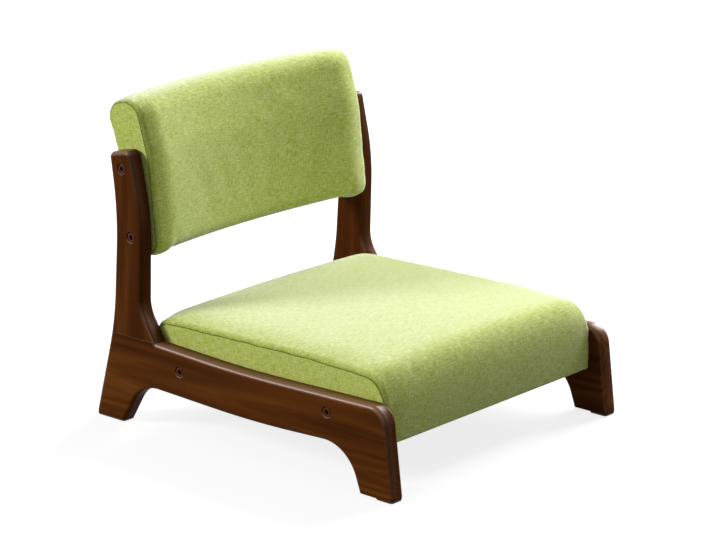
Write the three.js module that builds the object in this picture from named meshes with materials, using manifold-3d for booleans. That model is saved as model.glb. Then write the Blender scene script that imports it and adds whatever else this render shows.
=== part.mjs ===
// Low floor chair: two solid-wood side frames bolted to an upholstered seat and backrest.
// Millimetres, +Z up, front of the chair towards -Y, origin on the floor at the middle of
// the whole chair. Depths are measured from the middle between the feet.
// Left is -X and right is +X, as seen by someone who faces the chair.
import * as THREE from "three";
import { mergeVertices } from "three/addons/utils/BufferGeometryUtils.js";
import Module from "manifold-3d";

const wasm = await Module();
wasm.setup();

// Overall sizes
const overallWidth = 480;
const frameThickness = 24;
const edgeRound = 6;
const edgeRoundSteps = 2;
const footPadThickness = 3.5;

// Fits and drawing quality
const gap = 0.3;
const overrun = 1;
const curveTolerance = 0.15;
const mergeTolerance = 0.0001;
const fineSides = 16;
const coarseSides = 8;

// How far the middle of the whole chair, with its curved back, lies behind the middle of its feet
const originSetback = 8;

// Feet: how far they reach from the middle between them, and how long they are
const frontFootReach = 272.5;
const rearFootReach = 274.3;
const frontFootLength = 56.7;
const rearFootLength = 53;
const footToeExtraRound = 3;
const footHeelExtraRound = 1;

// Legs and rail of a lower frame: the rail hollows a little along its top
const frontLegRake = 16.1;
const frontLegSlope = 23.8;
const rearLegSlope = 38.4;
const railTopHeight = 127.7;
const railTopDip = 6.2;
const railWidth = 66;
const frontTopRound = 28;
const railDipRound = 2200;
const undersideDepth = 24.3;
const undersideRound = 1800;
const frontArchRise = 7.6;
const frontArchRound = 58;
const rearArchRise = 6.8;
const rearArchRound = 51;

// Post: its front edge measured from the rear of the feet, its widths from that edge
const postFrontInset = 93.1;
const postTopHeight = 390.6;
const postTopSetback = 16.6;
const postTopWidth = 39;
const postTopFall = 7.7;
const postTopExtraRound = 2;
const postFrontBow = 4;
const postBendDrop = 92.1;
const postBendWidth = 47.4;
const postFrontBendRound = 324;
const postRearBendRise = 2.8;
const postRearBendRound = 487;
const postFootRise = 41.2;
const postFootRound = 49;
const railEndRun = 26.9;
const railEndRound = 3;
const hipRise = 17.8;
const hipWidth = 53.9;
const hipRound = 412;

// Glued joint between a post and its lower frame
const jointRise = 0.3;
const dowelRadius = 5;
const dowelLength = 60;
const dowelInsets = { front: 10, rear: 38 };

// Bolts, and the stepped holes that take them
const boltRadius = 4;
const boltLength = 35;
const boltHeadRadius = 6.5;
const boltHeadHeight = 8;
const boltHeadChamfer = 0.7;
const boltHeadSink = 1;
const boltHeadClearance = 0.8;
const boltClearance = 0.4;
const hexKeyRadius = 3.46;
const hexKeyDepth = 4;
const counterboreChamfer = 1;
const railBoltInsets = { front: 114.4, rear: 72.1 };
const railBoltDrops = { front: 26.6, rear: 30.6 };
const upperBackBoltInset = 14.87;
const upperBackBoltDrop = 27.12;
const backBoltSpacing = 94.9;
const backLean = THREE.MathUtils.degToRad(9.2);

// Threaded inserts in the seat and back frames
const insertWall = 1.6;
const insertLength = 18;
const insertRecess = 0.5;

// Wood screws
const screwRadius = 2;
const screwHeadRadius = 3.8;
const screwHeadHeight = 2.6;
const screwTip = 3;
const screwSink = 0.6;
const cornerScrewLength = 50;
const boardScrewLength = 30;
const panelScrewLength = 24;

// Foot pads and their nails: almost as wide as the boards, and rounded along their lower edges
const footPadSideInset = 0.4;
const footPadStraightEdge = 0.5;
const footPadCorner = 5;
const footPadToeInsets = { front: 1.6, rear: 2.4 };
const footPadLengths = { front: 30, rear: 53.5 };
const nailRadius = 1.2;
const nailHeadRadius = 3;
const nailHeadHeight = 1;
const nailLength = 20;
const nailTip = 2.5;
const nailRecess = 1.2;

// Seat upholstery, outside of the fabric: set back from the feet and posts, and above the rail
const seatFrontInset = 33;
const seatRearInset = 3.2;
const seatBottomRise = 10.5;
const seatRearTopRise = 23.8;
const seatRearTopRound = 28;
const seatKneeInset = 129.5;
const seatKneeRise = 30.3;
const seatKneeRound = 900;
const seatFrontTopRise = 26.3;
const seatFrontTopRound = 40;
const seatBottomRound = 3;
const seatSwell = { edge: 10, middle: 4, front: 2.5, rear: 3 };
const seatEdgeRoll = 45;
const seatFlap = 28;

// Seat frame, board and foam
const seatFrontWrap = 6;
const seatRearWrap = 5;
const seatBattenWidth = 26;
const crossBattenWidth = 26;
const seatBattenDrop = 17.7;
const seatBoardThickness = 12;
const boardScrewInset = 35;
const dustCoverThickness = 0.8;
const dustCoverInset = 8;

// Back upholstery, on axes that lean with the bolts: rearward and up from the lower bolt
const backBottom = -22.1;
const backFrontFoot = 23.4;
const backRearFoot = 28;
const backFrontKnee = 29.8;
const backFrontKneeHeight = 112;
const backRearKnee = 25;
const backRearKneeHeight = 104;
const backKneeRound = 150;
const backTopFront = 17.1;
const backTopFrontHeight = 187.1;
const backTopFrontRound = 26;
const backTopRear = 39.1;
const backTopRearHeight = 178.6;
const backTopRearRound = 22;
const backBottomRound = 7;
const backSwell = { edge: 4, middle: 3, front: 13, rear: 3 };
const backEdgeRoll = 36;
const backSweep = 27;
const backSlit = 4;
const backSlitInset = 40;

// Back frame and foam
const backPanelThickness = 9;
const backPanelRearInset = 5;
const backPanelBottomInset = 11;
const backPanelTopInset = 20.6;
const backPanelSteps = 16;
const backBattenWidth = 26;
const backBattenFront = 13;
const backBattenTopInset = 36;
const lowPanelScrewRise = 28;
const highPanelScrewRise = 13.1;

// Fabric and foam
const fabricThickness = 1.2;
const fabricHoleClearance = 1.5;

// Where the stations across a cushion fall: shares of its edge roll, then of its middle
const edgeRollShares = [0, 0.1, 0.4, 1];
const middleShares = [0.66, 0.33, 0];

// Sizes that follow from the ones above
const halfWidth = overallWidth / 2;
const innerFace = halfWidth - frameThickness;
const cushionHalf = innerFace - gap;
const foamInset = fabricThickness + gap;
const battenFace = cushionHalf - foamInset;
const boltHeadSeat = halfWidth - boltHeadHeight - boltHeadSink;
const boltHoleRadius = boltRadius + boltClearance;
const counterboreRadius = boltHeadRadius + boltHeadClearance;
const insertRadius = boltHoleRadius + insertWall;
const railBottomHeight = railTopHeight - railTopDip - railWidth;
const jointHeight = railTopHeight + jointRise;
const postFront = rearFootReach - postFrontInset;
const postTopFront = postFront + postTopSetback;
const seatFront = frontFootReach - seatFrontInset;
const seatRear = postFront - seatRearInset;
const seatBottom = railBottomHeight + seatBottomRise;
const seatBattenTop = railTopHeight - seatBattenDrop;
const padMiddles = {
  front: footPadToeInsets.front + footPadLengths.front / 2 - frontFootReach,
  rear: rearFootReach - footPadToeInsets.rear - footPadLengths.rear / 2,
};
const sides = { left: -1, right: 1 };

// Materials
const walnut = new THREE.MeshStandardMaterial({ color: 0x58311a, roughness: 0.35 });
const walnutPost = new THREE.MeshStandardMaterial({ color: 0x4e2a14, roughness: 0.35 });
const beech = new THREE.MeshStandardMaterial({ color: 0xc9a878, roughness: 0.7 });
const plywood = new THREE.MeshStandardMaterial({ color: 0xc2a070, roughness: 0.75 });
const greenFabric = new THREE.MeshStandardMaterial({ color: 0xb4c066, roughness: 0.9 });
const foam = new THREE.MeshStandardMaterial({ color: 0xe8dfb8, roughness: 0.95 });
const blackCloth = new THREE.MeshStandardMaterial({ color: 0x1c1c1c, roughness: 0.95 });
const brownRubber = new THREE.MeshStandardMaterial({ color: 0x2f180b, roughness: 0.7 });
const bronzedSteel = new THREE.MeshStandardMaterial({
  color: 0x4b2c20,
  roughness: 0.3,
  metalness: 0.9,
});
const steel = new THREE.MeshStandardMaterial({ color: 0x8d8f92, roughness: 0.4, metalness: 0.9 });

// What a corner of a closed polygon needs for its arc. Its edges run back and ahead from it.
function cornerOf(corners, index) {
  const at = ({ across, up }) => new THREE.Vector2(across, up);
  const here = at(corners[index]);
  const back = at(corners[(index + corners.length - 1) % corners.length]).sub(here);
  const ahead = at(corners[(index + 1) % corners.length]).sub(here);
  const bend = THREE.MathUtils.clamp(back.dot(ahead) / (back.length() * ahead.length()), -1, 1);
  const turn = Math.PI - Math.acos(bend);
  return { here, back, ahead, turn, reach: corners[index].round * Math.tan(turn / 2) };
}

// A closed polygon of corners {across, up, round} turned into points, each round corner an arc.
// Where two arcs would need more than the edge between them, both are drawn in alike.
function roundedOutline(corners) {
  const all = corners.map((_, index) => cornerOf(corners, index));
  const points = [];
  all.forEach(({ here, back, ahead, turn, reach }, index) => {
    const before = all[(index + all.length - 1) % all.length];
    const after = all[(index + 1) % all.length];
    const roomBack = back.length() / (reach + before.reach);
    const roomAhead = ahead.length() / (reach + after.reach);
    const fit = Math.min(1, roomBack, roomAhead);
    const round = corners[index].round * fit;
    back.normalize();
    ahead.normalize();
    const middle = back.clone().add(ahead).normalize();
    const centre = here.clone().addScaledVector(middle, round / Math.cos(turn / 2));
    const start = here.clone().addScaledVector(back, reach * fit).sub(centre);
    const leftTurn = back.cross(ahead) < 0;
    const step = 2 * Math.acos(1 - curveTolerance / round);
    const count = Math.max(2, Math.ceil(turn / step));
    for (let k = 0; k <= count; k += 1) {
      const angle = (leftTurn ? 1 : -1) * turn * (k / count);
      points.push(start.clone().rotateAround(new THREE.Vector2(), angle).add(centre));
    }
  });
  return points;
}

// Outward directions of a counter-clockwise closed outline, one for each point
function outwardDirections(points) {
  return points.map((point, index) => {
    const before = points[(index + points.length - 1) % points.length];
    const after = points[(index + 1) % points.length];
    const along = after.clone().sub(before).normalize();
    return new THREE.Vector2(along.y, -along.x);
  });
}

// A closed geometry as a solid for joining and cutting
function solidOf(geometry) {
  const bare = new THREE.BufferGeometry();
  bare.setAttribute("position", geometry.getAttribute("position"));
  if (geometry.index) bare.setIndex(geometry.index);
  const merged = mergeVertices(bare, mergeTolerance);
  const triangles = [];
  for (let i = 0; i < merged.index.count; i += 3) {
    const [a, b, c] = [0, 1, 2].map((k) => merged.index.getX(i + k));
    if (a !== b && b !== c && c !== a) triangles.push(a, b, c);
  }
  return new wasm.Manifold(
    new wasm.Mesh({
      numProp: 3,
      vertProperties: new Float32Array(merged.attributes.position.array),
      triVerts: new Uint32Array(triangles),
    }),
  );
}

// A cut solid back as a geometry
function geometryOf(solid) {
  const mesh = solid.getMesh();
  const geometry = new THREE.BufferGeometry();
  const positions = new Float32Array(mesh.vertProperties);
  geometry.setAttribute("position", new THREE.BufferAttribute(positions, 3));
  geometry.setIndex(new THREE.BufferAttribute(new Uint32Array(mesh.triVerts), 1));
  geometry.computeVertexNormals();
  return geometry;
}

function piece(name, geometry, material) {
  const mesh = new THREE.Mesh(geometry, material);
  mesh.name = name;
  return mesh;
}

// A turned shape about +X: stations are {along, radius}, from its inner end to its outer end
function turned(stations, sideCount) {
  const profile = stations.map(({ along, radius }) => new THREE.Vector2(radius, along));
  const first = new THREE.Vector2(0, stations[0].along);
  const last = new THREE.Vector2(0, stations[stations.length - 1].along);
  return new THREE.LatheGeometry([first, ...profile, last], sideCount).rotateZ(-Math.PI / 2);
}

// Turns a shape that points along +X to point along the given direction, and moves it
function aimed(geometry, direction, place) {
  const turn = new THREE.Quaternion().setFromUnitVectors(new THREE.Vector3(1, 0, 0), direction);
  return geometry.applyQuaternion(turn).translate(place.x, place.y, place.z);
}

function box(low, high) {
  const size = high.clone().sub(low);
  const middle = high.clone().add(low).divideScalar(2);
  return new THREE.BoxGeometry(size.x, size.y, size.z).translate(middle.x, middle.y, middle.z);
}

// A flat outline in the side view, across = Y and up = Z, carried along X from low to high
function carriedAcross(points, low, high, round) {
  const shape = new THREE.Shape(points);
  const geometry = new THREE.ExtrudeGeometry(shape, {
    depth: high - low - 2 * round,
    steps: 1,
    bevelEnabled: round > 0,
    bevelThickness: round,
    bevelSize: round,
    bevelOffset: -round,
    bevelSegments: edgeRoundSteps,
  });
  const axes = new THREE.Matrix4().makeBasis(
    new THREE.Vector3(0, 1, 0),
    new THREE.Vector3(0, 0, 1),
    new THREE.Vector3(1, 0, 0),
  );
  return geometry.applyMatrix4(axes).translate(low + round, 0, 0);
}

// Side outline of the whole frame, anticlockwise from the front foot. It reaches lower than the
// soles by the edge round, so that the legs have their full thickness where they are cut flat.
function frameOutline() {
  const bottom = footPadThickness - edgeRound;
  const toeRound = edgeRound + footToeExtraRound;
  const heelRound = edgeRound + footHeelExtraRound;
  const topRound = edgeRound + postTopExtraRound;
  const frontHeel = frontFootReach - frontFootLength;
  const rearHeel = rearFootReach - rearFootLength;
  const bendFront = postFront - postFrontBow;
  const bendHeight = postTopHeight - postBendDrop;
  const rearBendHeight = bendHeight + postRearBendRise;
  const topRear = postTopFront + postTopWidth;
  return roundedOutline([
    { across: -frontFootReach, up: bottom, round: toeRound },
    { across: -frontHeel, up: bottom, round: heelRound },
    {
      across: frontLegSlope - frontHeel,
      up: railBottomHeight + frontArchRise,
      round: frontArchRound,
    },
    { across: -undersideDepth, up: railBottomHeight, round: undersideRound },
    {
      across: rearHeel - rearLegSlope,
      up: railBottomHeight + rearArchRise,
      round: rearArchRound,
    },
    { across: rearHeel, up: bottom, round: heelRound },
    { across: rearFootReach, up: bottom, round: toeRound },
    { across: postFront + hipWidth, up: railTopHeight + hipRise, round: hipRound },
    { across: bendFront + postBendWidth, up: rearBendHeight, round: postRearBendRound },
    { across: topRear, up: postTopHeight - postTopFall, round: topRound },
    { across: postTopFront, up: postTopHeight, round: topRound },
    { across: bendFront, up: bendHeight, round: postFrontBendRound },
    { across: postFront, up: railTopHeight + postFootRise, round: postFootRound },
    { across: postFront - railEndRun, up: railTopHeight, round: railEndRound },
    { across: 0, up: railTopHeight - railTopDip, round: railDipRound },
    { across: frontLegRake - frontFootReach, up: railTopHeight, round: frontTopRound },
  ]);
}

// Places of the four bolts of one side, in the side view. The back's lean with its two bolts.
const lowerBackBolt = {
  depth: postTopFront + upperBackBoltInset - backBoltSpacing * Math.sin(backLean),
  height: postTopHeight - upperBackBoltDrop - backBoltSpacing * Math.cos(backLean),
};
const boltPlaces = {
  seat_bolt_front: {
    depth: railBoltInsets.front - frontFootReach,
    height: railTopHeight - railBoltDrops.front,
  },
  seat_bolt_rear: {
    depth: postFront - railBoltInsets.rear,
    height: railTopHeight - railBoltDrops.rear,
  },
  back_bolt_lower: lowerBackBolt,
  back_bolt_upper: {
    depth: postTopFront + upperBackBoltInset,
    height: postTopHeight - upperBackBoltDrop,
  },
};

// The stepped, chamfered bolt hole, along +X from inside the frame to its outer face
function boltHole() {
  const mouth = halfWidth - counterboreChamfer;
  return turned(
    [
      { along: innerFace - overrun, radius: boltHoleRadius },
      { along: boltHeadSeat, radius: boltHoleRadius },
      { along: boltHeadSeat, radius: counterboreRadius },
      { along: mouth, radius: counterboreRadius },
      { along: halfWidth + overrun, radius: counterboreRadius + counterboreChamfer + overrun },
    ],
    fineSides,
  );
}

// Points a shape made along +X to one side of the chair, and puts it at a bolt's place
function atSide(geometry, side, place) {
  const turn = side < 0 ? Math.PI : 0;
  return geometry.rotateZ(turn).translate(0, place.depth, place.height);
}

// Wooden frames, dowels, foot pads and nails
function sideFrame(label) {
  const side = sides[label];
  const group = new THREE.Group();
  const low = side < 0 ? -halfWidth : innerFace;
  const high = low + frameThickness;
  const middle = (low + high) / 2;
  let whole = solidOf(carriedAcross(frameOutline(), low, high, edgeRound));
  for (const place of Object.values(boltPlaces)) {
    whole = whole.subtract(solidOf(atSide(boltHole(), side, place)));
  }

  const up = new THREE.Vector3(0, 0, 1);
  const rod = (radius, length, count) =>
    turned([{ along: 0, radius }, { along: length, radius }], count);
  for (const [end, inset] of Object.entries(dowelInsets)) {
    const depth = postFront + inset;
    const bottom = jointHeight - dowelLength / 2;
    const place = new THREE.Vector3(middle, depth, bottom);
    const dowel = aimed(rod(dowelRadius, dowelLength, coarseSides), up, place);
    group.add(piece(`${label}_post_dowel_${end}`, dowel, beech));
    const holePlace = new THREE.Vector3(middle, depth, bottom - gap);
    const hole = rod(dowelRadius + gap, dowelLength + 2 * gap, coarseSides);
    whole = whole.subtract(solidOf(aimed(hole, up, holePlace)));
  }

  const underSoles = solidOf(
    box(
      new THREE.Vector3(low - overrun, -frontFootReach - overrun, -edgeRound),
      new THREE.Vector3(high + overrun, rearFootReach + overrun, footPadThickness),
    ),
  );
  whole = whole.subtract(underSoles);
  for (const [end, depth] of Object.entries(padMiddles)) {
    const nailFoot = new THREE.Vector3(middle, depth, nailRecess);
    const nail = nailShape(0, nailLength);
    group.add(piece(`${label}_${end}_pad_nail`, aimed(nail, up, nailFoot), steel));
    const nailHole = () => solidOf(aimed(nailShape(gap, nailLength + gap), up, nailFoot));
    const pad = footPad(middle, depth, footPadLengths[end]).subtract(nailHole());
    const headRoom = rod(nailHeadRadius + gap, nailRecess + nailHeadHeight + overrun, coarseSides);
    const headFoot = new THREE.Vector3(middle, depth, -overrun);
    const bored = pad.subtract(solidOf(aimed(headRoom, up, headFoot)));
    group.add(piece(`${label}_${end}_foot_pad`, geometryOf(bored), brownRubber));
    whole = whole.subtract(nailHole());
  }

  const above = solidOf(
    box(
      new THREE.Vector3(low - overrun, -frontFootReach, jointHeight),
      new THREE.Vector3(high + overrun, rearFootReach, postTopHeight + overrun),
    ),
  );
  const lower = geometryOf(whole.subtract(above));
  const post = geometryOf(whole.intersect(above));
  group.add(piece(`${label}_lower_frame`, lower, walnut));
  group.add(piece(`${label}_back_post`, post, walnutPost));
  return group;
}

// A nail that points along +X from its head, grown all round by a clearance
function nailShape(grown, length) {
  return turned(
    [
      { along: -grown, radius: nailHeadRadius + grown },
      { along: nailHeadHeight + grown, radius: nailHeadRadius + grown },
      { along: nailHeadHeight + grown, radius: nailRadius + grown },
      { along: length - nailTip, radius: nailRadius + grown },
      { along: length, radius: grown },
    ],
    coarseSides,
  );
}

// A pad under a foot: its outline rounded in plan, and its lower edge rounded up to a low side
function footPad(middle, depth, length) {
  const halfAcross = frameThickness / 2 - footPadSideInset;
  const halfAlong = length / 2;
  const corners = [
    { across: -halfAcross, up: -halfAlong },
    { across: halfAcross, up: -halfAlong },
    { across: halfAcross, up: halfAlong },
    { across: -halfAcross, up: halfAlong },
  ].map((corner) => ({ ...corner, round: footPadCorner }));
  const shape = new THREE.Shape(roundedOutline(corners));
  const lowerRound = footPadThickness - footPadStraightEdge;
  const blank = new THREE.ExtrudeGeometry(shape, {
    depth: 2 * footPadStraightEdge,
    bevelEnabled: true,
    bevelThickness: lowerRound,
    bevelSize: lowerRound,
    bevelOffset: -lowerRound,
    bevelSegments: edgeRoundSteps,
  });
  const upperHalf = box(
    new THREE.Vector3(middle - frameThickness, depth - length, footPadThickness),
    new THREE.Vector3(middle + frameThickness, depth + length, 2 * footPadThickness + overrun),
  );
  return solidOf(blank.translate(middle, depth, lowerRound)).subtract(solidOf(upperHalf));
}

// A socket-head bolt along +X, its head towards the outside
function boltShape() {
  const headTop = boltHeadSeat + boltHeadHeight;
  const shank = turned(
    [
      { along: boltHeadSeat - boltLength, radius: boltRadius - gap },
      { along: boltHeadSeat - boltLength + gap, radius: boltRadius },
      { along: boltHeadSeat, radius: boltRadius },
      { along: boltHeadSeat, radius: boltHeadRadius },
      { along: headTop - boltHeadChamfer, radius: boltHeadRadius },
      { along: headTop, radius: boltHeadRadius - boltHeadChamfer },
    ],
    fineSides,
  );
  const socketSides = 6;
  const socket = turned(
    [
      { along: headTop - hexKeyDepth, radius: hexKeyRadius },
      { along: headTop + overrun, radius: hexKeyRadius },
    ],
    socketSides,
  );
  return geometryOf(solidOf(shank).subtract(solidOf(socket)));
}

// A threaded insert along +X, flush with the outer face of its batten
function insertShape() {
  const outer = battenFace - insertRecess;
  const body = turned(
    [
      { along: outer - insertLength, radius: insertRadius },
      { along: outer, radius: insertRadius },
    ],
    fineSides,
  );
  const bore = turned(
    [
      { along: outer - insertLength - overrun, radius: boltHoleRadius },
      { along: outer + overrun, radius: boltHoleRadius },
    ],
    fineSides,
  );
  return geometryOf(solidOf(body).subtract(solidOf(bore)));
}

// The blind hole that takes an insert and its bolt, from inside a batten to past its outer face
function insertHole() {
  const insertEnd = battenFace - insertRecess - insertLength;
  const bottom = Math.min(insertEnd, boltHeadSeat - boltLength) - 2 * gap;
  const radius = insertRadius + gap;
  const stations = [
    { along: bottom, radius },
    { along: battenFace + overrun, radius },
  ];
  return turned(stations, fineSides);
}

function fasteners() {
  const group = new THREE.Group();
  for (const [label, side] of Object.entries(sides)) {
    for (const [name, place] of Object.entries(boltPlaces)) {
      group.add(piece(`${label}_${name}`, atSide(boltShape(), side, place), bronzedSteel));
      const insertName = `${label}_${name}`.replace("bolt", "insert");
      group.add(piece(insertName, atSide(insertShape(), side, place), steel));
    }
  }
  return group;
}

// A countersunk wood screw that points along -X from its head at the origin
function screwShape(length, grown) {
  return turned(
    [
      { along: -length - grown, radius: grown },
      { along: -length + screwTip, radius: screwRadius + grown },
      { along: -screwHeadHeight, radius: screwRadius + grown },
      { along: 0, radius: screwHeadRadius + grown },
      { along: grown, radius: screwHeadRadius + grown },
    ],
    coarseSides,
  );
}

// Screws of one kind: each is a named mesh, and their grown shapes cut the holes
function screwSet(list, length) {
  const outward = screwSink + overrun;
  const meshes = [];
  const holes = [];
  for (const { name, direction, place } of list) {
    meshes.push(piece(name, aimed(screwShape(length, 0), direction, place), steel));
    holes.push(solidOf(aimed(screwShape(length, gap), direction, place)));
    const mouth = turned(
      [
        { along: 0, radius: screwHeadRadius + gap },
        { along: outward, radius: screwHeadRadius + gap },
      ],
      coarseSides,
    );
    holes.push(solidOf(aimed(mouth, direction, place)));
  }
  return { meshes, holes };
}

function cutAll(solid, cutters) {
  return cutters.reduce((left, cutter) => left.subtract(cutter), solid);
}

// How far a cushion swells past its end seams at a share of its half width
function swellAt(share, half, edgeRoll, swell) {
  const inFromSeam = Math.min(1, (half * (1 - Math.abs(share))) / edgeRoll);
  const roll = Math.sqrt(1 - (1 - inFromSeam) ** 2);
  return { roll, dome: swell.middle * (1 - share * share) };
}

// An upholstered form: its side outline carried across the width, crowned between two flat
// end panels, and swept back by a given depth at the middle. Inset makes the layers inside.
function paddedForm({ corners, half, edgeRoll, swell, sweep }, inset) {
  const outline = roundedOutline(corners);
  const outward = outwardDirections(outline);
  const flatShare = (half - edgeRoll) / half;
  const edgeStations = edgeRollShares.map((share) => 1 - (share * edgeRoll) / half);
  const middleStations = middleShares.map((share) => share * flatShare);
  const positive = [...edgeStations, ...middleStations];
  const negative = positive.slice(0, -1).map((share) => -share);
  const stations = [...negative, ...positive.reverse()];

  const positions = [];
  for (const share of stations) {
    const { roll, dome } = swellAt(share, half, edgeRoll, swell);
    outline.forEach((point, index) => {
      const normal = outward[index];
      const top = Math.max(0, normal.y) ** 2 * (swell.edge * roll + dome);
      const front = Math.max(0, -normal.x) ** 2 * swell.front * roll;
      const rear = Math.max(0, normal.x) ** 2 * swell.rear * roll;
      const place = point.clone().addScaledVector(normal, top + front + rear - inset);
      const back = sweep * (1 - share * share);
      positions.push(share * (half - inset), place.x + back, place.y);
    });
  }

  const index = [];
  const around = outline.length;
  for (let s = 0; s + 1 < stations.length; s += 1) {
    for (let k = 0; k < around; k += 1) {
      const next = (k + 1) % around;
      const [a, b] = [s * around + k, s * around + next];
      const [c, d] = [a + around, b + around];
      index.push(a, b, c, b, d, c);
    }
  }
  const endFaces = THREE.ShapeUtils.triangulateShape(outline, []);
  const lastRow = (stations.length - 1) * around;
  for (const [a, b, c] of endFaces) {
    index.push(a, c, b, lastRow + a, lastRow + b, lastRow + c);
  }
  const geometry = new THREE.BufferGeometry();
  geometry.setAttribute("position", new THREE.Float32BufferAttribute(positions, 3));
  geometry.setIndex(index);
  return solidOf(geometry);
}

const seatForm = {
  corners: [
    { across: -seatFront, up: seatBottom, round: seatBottomRound },
    { across: seatRear, up: seatBottom, round: seatBottomRound },
    { across: seatRear, up: railTopHeight + seatRearTopRise, round: seatRearTopRound },
    { across: seatKneeInset - seatFront, up: railTopHeight + seatKneeRise, round: seatKneeRound },
    { across: -seatFront, up: railTopHeight + seatFrontTopRise, round: seatFrontTopRound },
  ],
  half: cushionHalf,
  edgeRoll: seatEdgeRoll,
  swell: seatSwell,
  sweep: 0,
};

// Seat: batten frame, board, foam, cover and dust cover
function seat() {
  const group = new THREE.Group();
  const frameFront = -seatFront + foamInset + seatFrontWrap;
  const frameRear = seatRear - foamInset - seatRearWrap;
  const frameBottom = seatBottom + foamInset;
  const boardTop = seatBattenTop + seatBoardThickness;
  const inner = battenFace - seatBattenWidth;

  const seatPlaces = [boltPlaces.seat_bolt_front, boltPlaces.seat_bolt_rear];
  const corner = { front: frameFront + crossBattenWidth / 2, rear: frameRear - crossBattenWidth / 2 };
  const cornerList = [];
  const boardList = [];
  for (const [label, side] of Object.entries(sides)) {
    for (const [end, depth] of Object.entries(corner)) {
      const height = (frameBottom + seatBattenTop) / 2;
      cornerList.push({
        name: `${label}_${end}_corner_screw`,
        direction: new THREE.Vector3(side, 0, 0),
        place: new THREE.Vector3(side * (battenFace - screwSink), depth, height),
      });
      const nearCorner = depth + (end === "front" ? boardScrewInset : -boardScrewInset);
      boardList.push({
        name: `${label}_${end}_board_screw`,
        direction: new THREE.Vector3(0, 0, 1),
        place: new THREE.Vector3(
          side * (battenFace - seatBattenWidth / 2),
          nearCorner,
          boardTop - screwSink,
        ),
      });
    }
  }
  const cornerScrews = screwSet(cornerList, cornerScrewLength);
  const boardScrews = screwSet(boardList, boardScrewLength);
  group.add(...cornerScrews.meshes, ...boardScrews.meshes);
  const screwHoles = [...cornerScrews.holes, ...boardScrews.holes];

  for (const [label, side] of Object.entries(sides)) {
    const [near, far] = side < 0 ? [-battenFace, -inner] : [inner, battenFace];
    const blank = box(
      new THREE.Vector3(near, frameFront, frameBottom),
      new THREE.Vector3(far, frameRear, seatBattenTop),
    );
    const insertHoles = seatPlaces.map((place) => solidOf(atSide(insertHole(), side, place)));
    const batten = cutAll(solidOf(blank), [...insertHoles, ...screwHoles]);
    group.add(piece(`seat_${label}_batten`, geometryOf(batten), beech));
  }
  const crossEnds = {
    front: [frameFront, frameFront + crossBattenWidth],
    rear: [frameRear - crossBattenWidth, frameRear],
  };
  for (const [label, [near, far]] of Object.entries(crossEnds)) {
    const blank = box(
      new THREE.Vector3(-inner + gap, near, frameBottom),
      new THREE.Vector3(inner - gap, far, seatBattenTop),
    );
    const batten = cutAll(solidOf(blank), screwHoles);
    group.add(piece(`seat_${label}_batten`, geometryOf(batten), beech));
  }
  const boardBlank = box(
    new THREE.Vector3(-battenFace, frameFront, seatBattenTop),
    new THREE.Vector3(battenFace, frameRear, boardTop),
  );
  const board = cutAll(solidOf(boardBlank), screwHoles);
  group.add(piece("seat_board", geometryOf(board), plywood));

  const block = box(
    new THREE.Vector3(-halfWidth, frameFront - gap, -overrun),
    new THREE.Vector3(halfWidth, frameRear + gap, boardTop + gap),
  );
  const seatFoam = paddedForm(seatForm, foamInset).subtract(solidOf(block));
  group.add(piece("seat_foam", geometryOf(seatFoam), foam));

  const opening = box(
    new THREE.Vector3(-cushionHalf + seatFlap, -seatFront + seatFlap, seatBottom - overrun),
    new THREE.Vector3(cushionHalf - seatFlap, seatRear - seatFlap, frameBottom),
  );
  const cover = paddedForm(seatForm, 0).subtract(paddedForm(seatForm, fabricThickness));
  const coverCuts = [solidOf(opening), ...fabricHoles(seatPlaces)];
  group.add(piece("seat_cover", geometryOf(cutAll(cover, coverCuts)), greenFabric));

  const sheetTop = seatBottom - gap;
  const sheet = box(
    new THREE.Vector3(
      -cushionHalf + dustCoverInset,
      -seatFront + dustCoverInset,
      sheetTop - dustCoverThickness,
    ),
    new THREE.Vector3(cushionHalf - dustCoverInset, seatRear - dustCoverInset, sheetTop),
  );
  group.add(piece("seat_dust_cover", sheet, blackCloth));
  return group;
}

// The holes for the bolts at the given places, through both end panels of a cover
function fabricHoles(places) {
  const radius = boltRadius + fabricHoleClearance;
  const stations = [
    { along: cushionHalf - fabricThickness - overrun, radius },
    { along: cushionHalf + overrun, radius },
  ];
  const hole = (place, side) => solidOf(atSide(turned(stations, coarseSides), side, place));
  return places.flatMap((place) => Object.values(sides).map((side) => hole(place, side)));
}

const backForm = {
  corners: [
    { across: -backFrontFoot, up: backBottom, round: backBottomRound },
    { across: backRearFoot, up: backBottom, round: backBottomRound },
    { across: backRearKnee, up: backRearKneeHeight, round: backKneeRound },
    { across: backTopRear, up: backTopRearHeight, round: backTopRearRound },
    { across: -backTopFront, up: backTopFrontHeight, round: backTopFrontRound },
    { across: -backFrontKnee, up: backFrontKneeHeight, round: backKneeRound },
  ],
  half: cushionHalf,
  edgeRoll: backEdgeRoll,
  swell: backSwell,
  sweep: backSweep,
};

// Panel and battens of the back, on the same leaning axes
const backPanelRear = backRearKnee - backPanelRearInset;
const backPanelBottom = backBottom + backPanelBottomInset;
const backPanelTop = backTopRearHeight - backPanelTopInset;
const panelScrewHeights = { low: lowPanelScrewRise, high: backBoltSpacing + highPanelScrewRise };

// How far back the curved back lies at a place across it, from where it is at its ends
function sweepAt(x) {
  return backSweep * (1 - (x / cushionHalf) ** 2);
}

// A plan outline, across = X and up = rearward, raised along the leaning height
function raised(points, low, high) {
  const shape = new THREE.Shape(points);
  const geometry = new THREE.ExtrudeGeometry(shape, { depth: high - low, bevelEnabled: false });
  return geometry.translate(0, 0, low);
}

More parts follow.
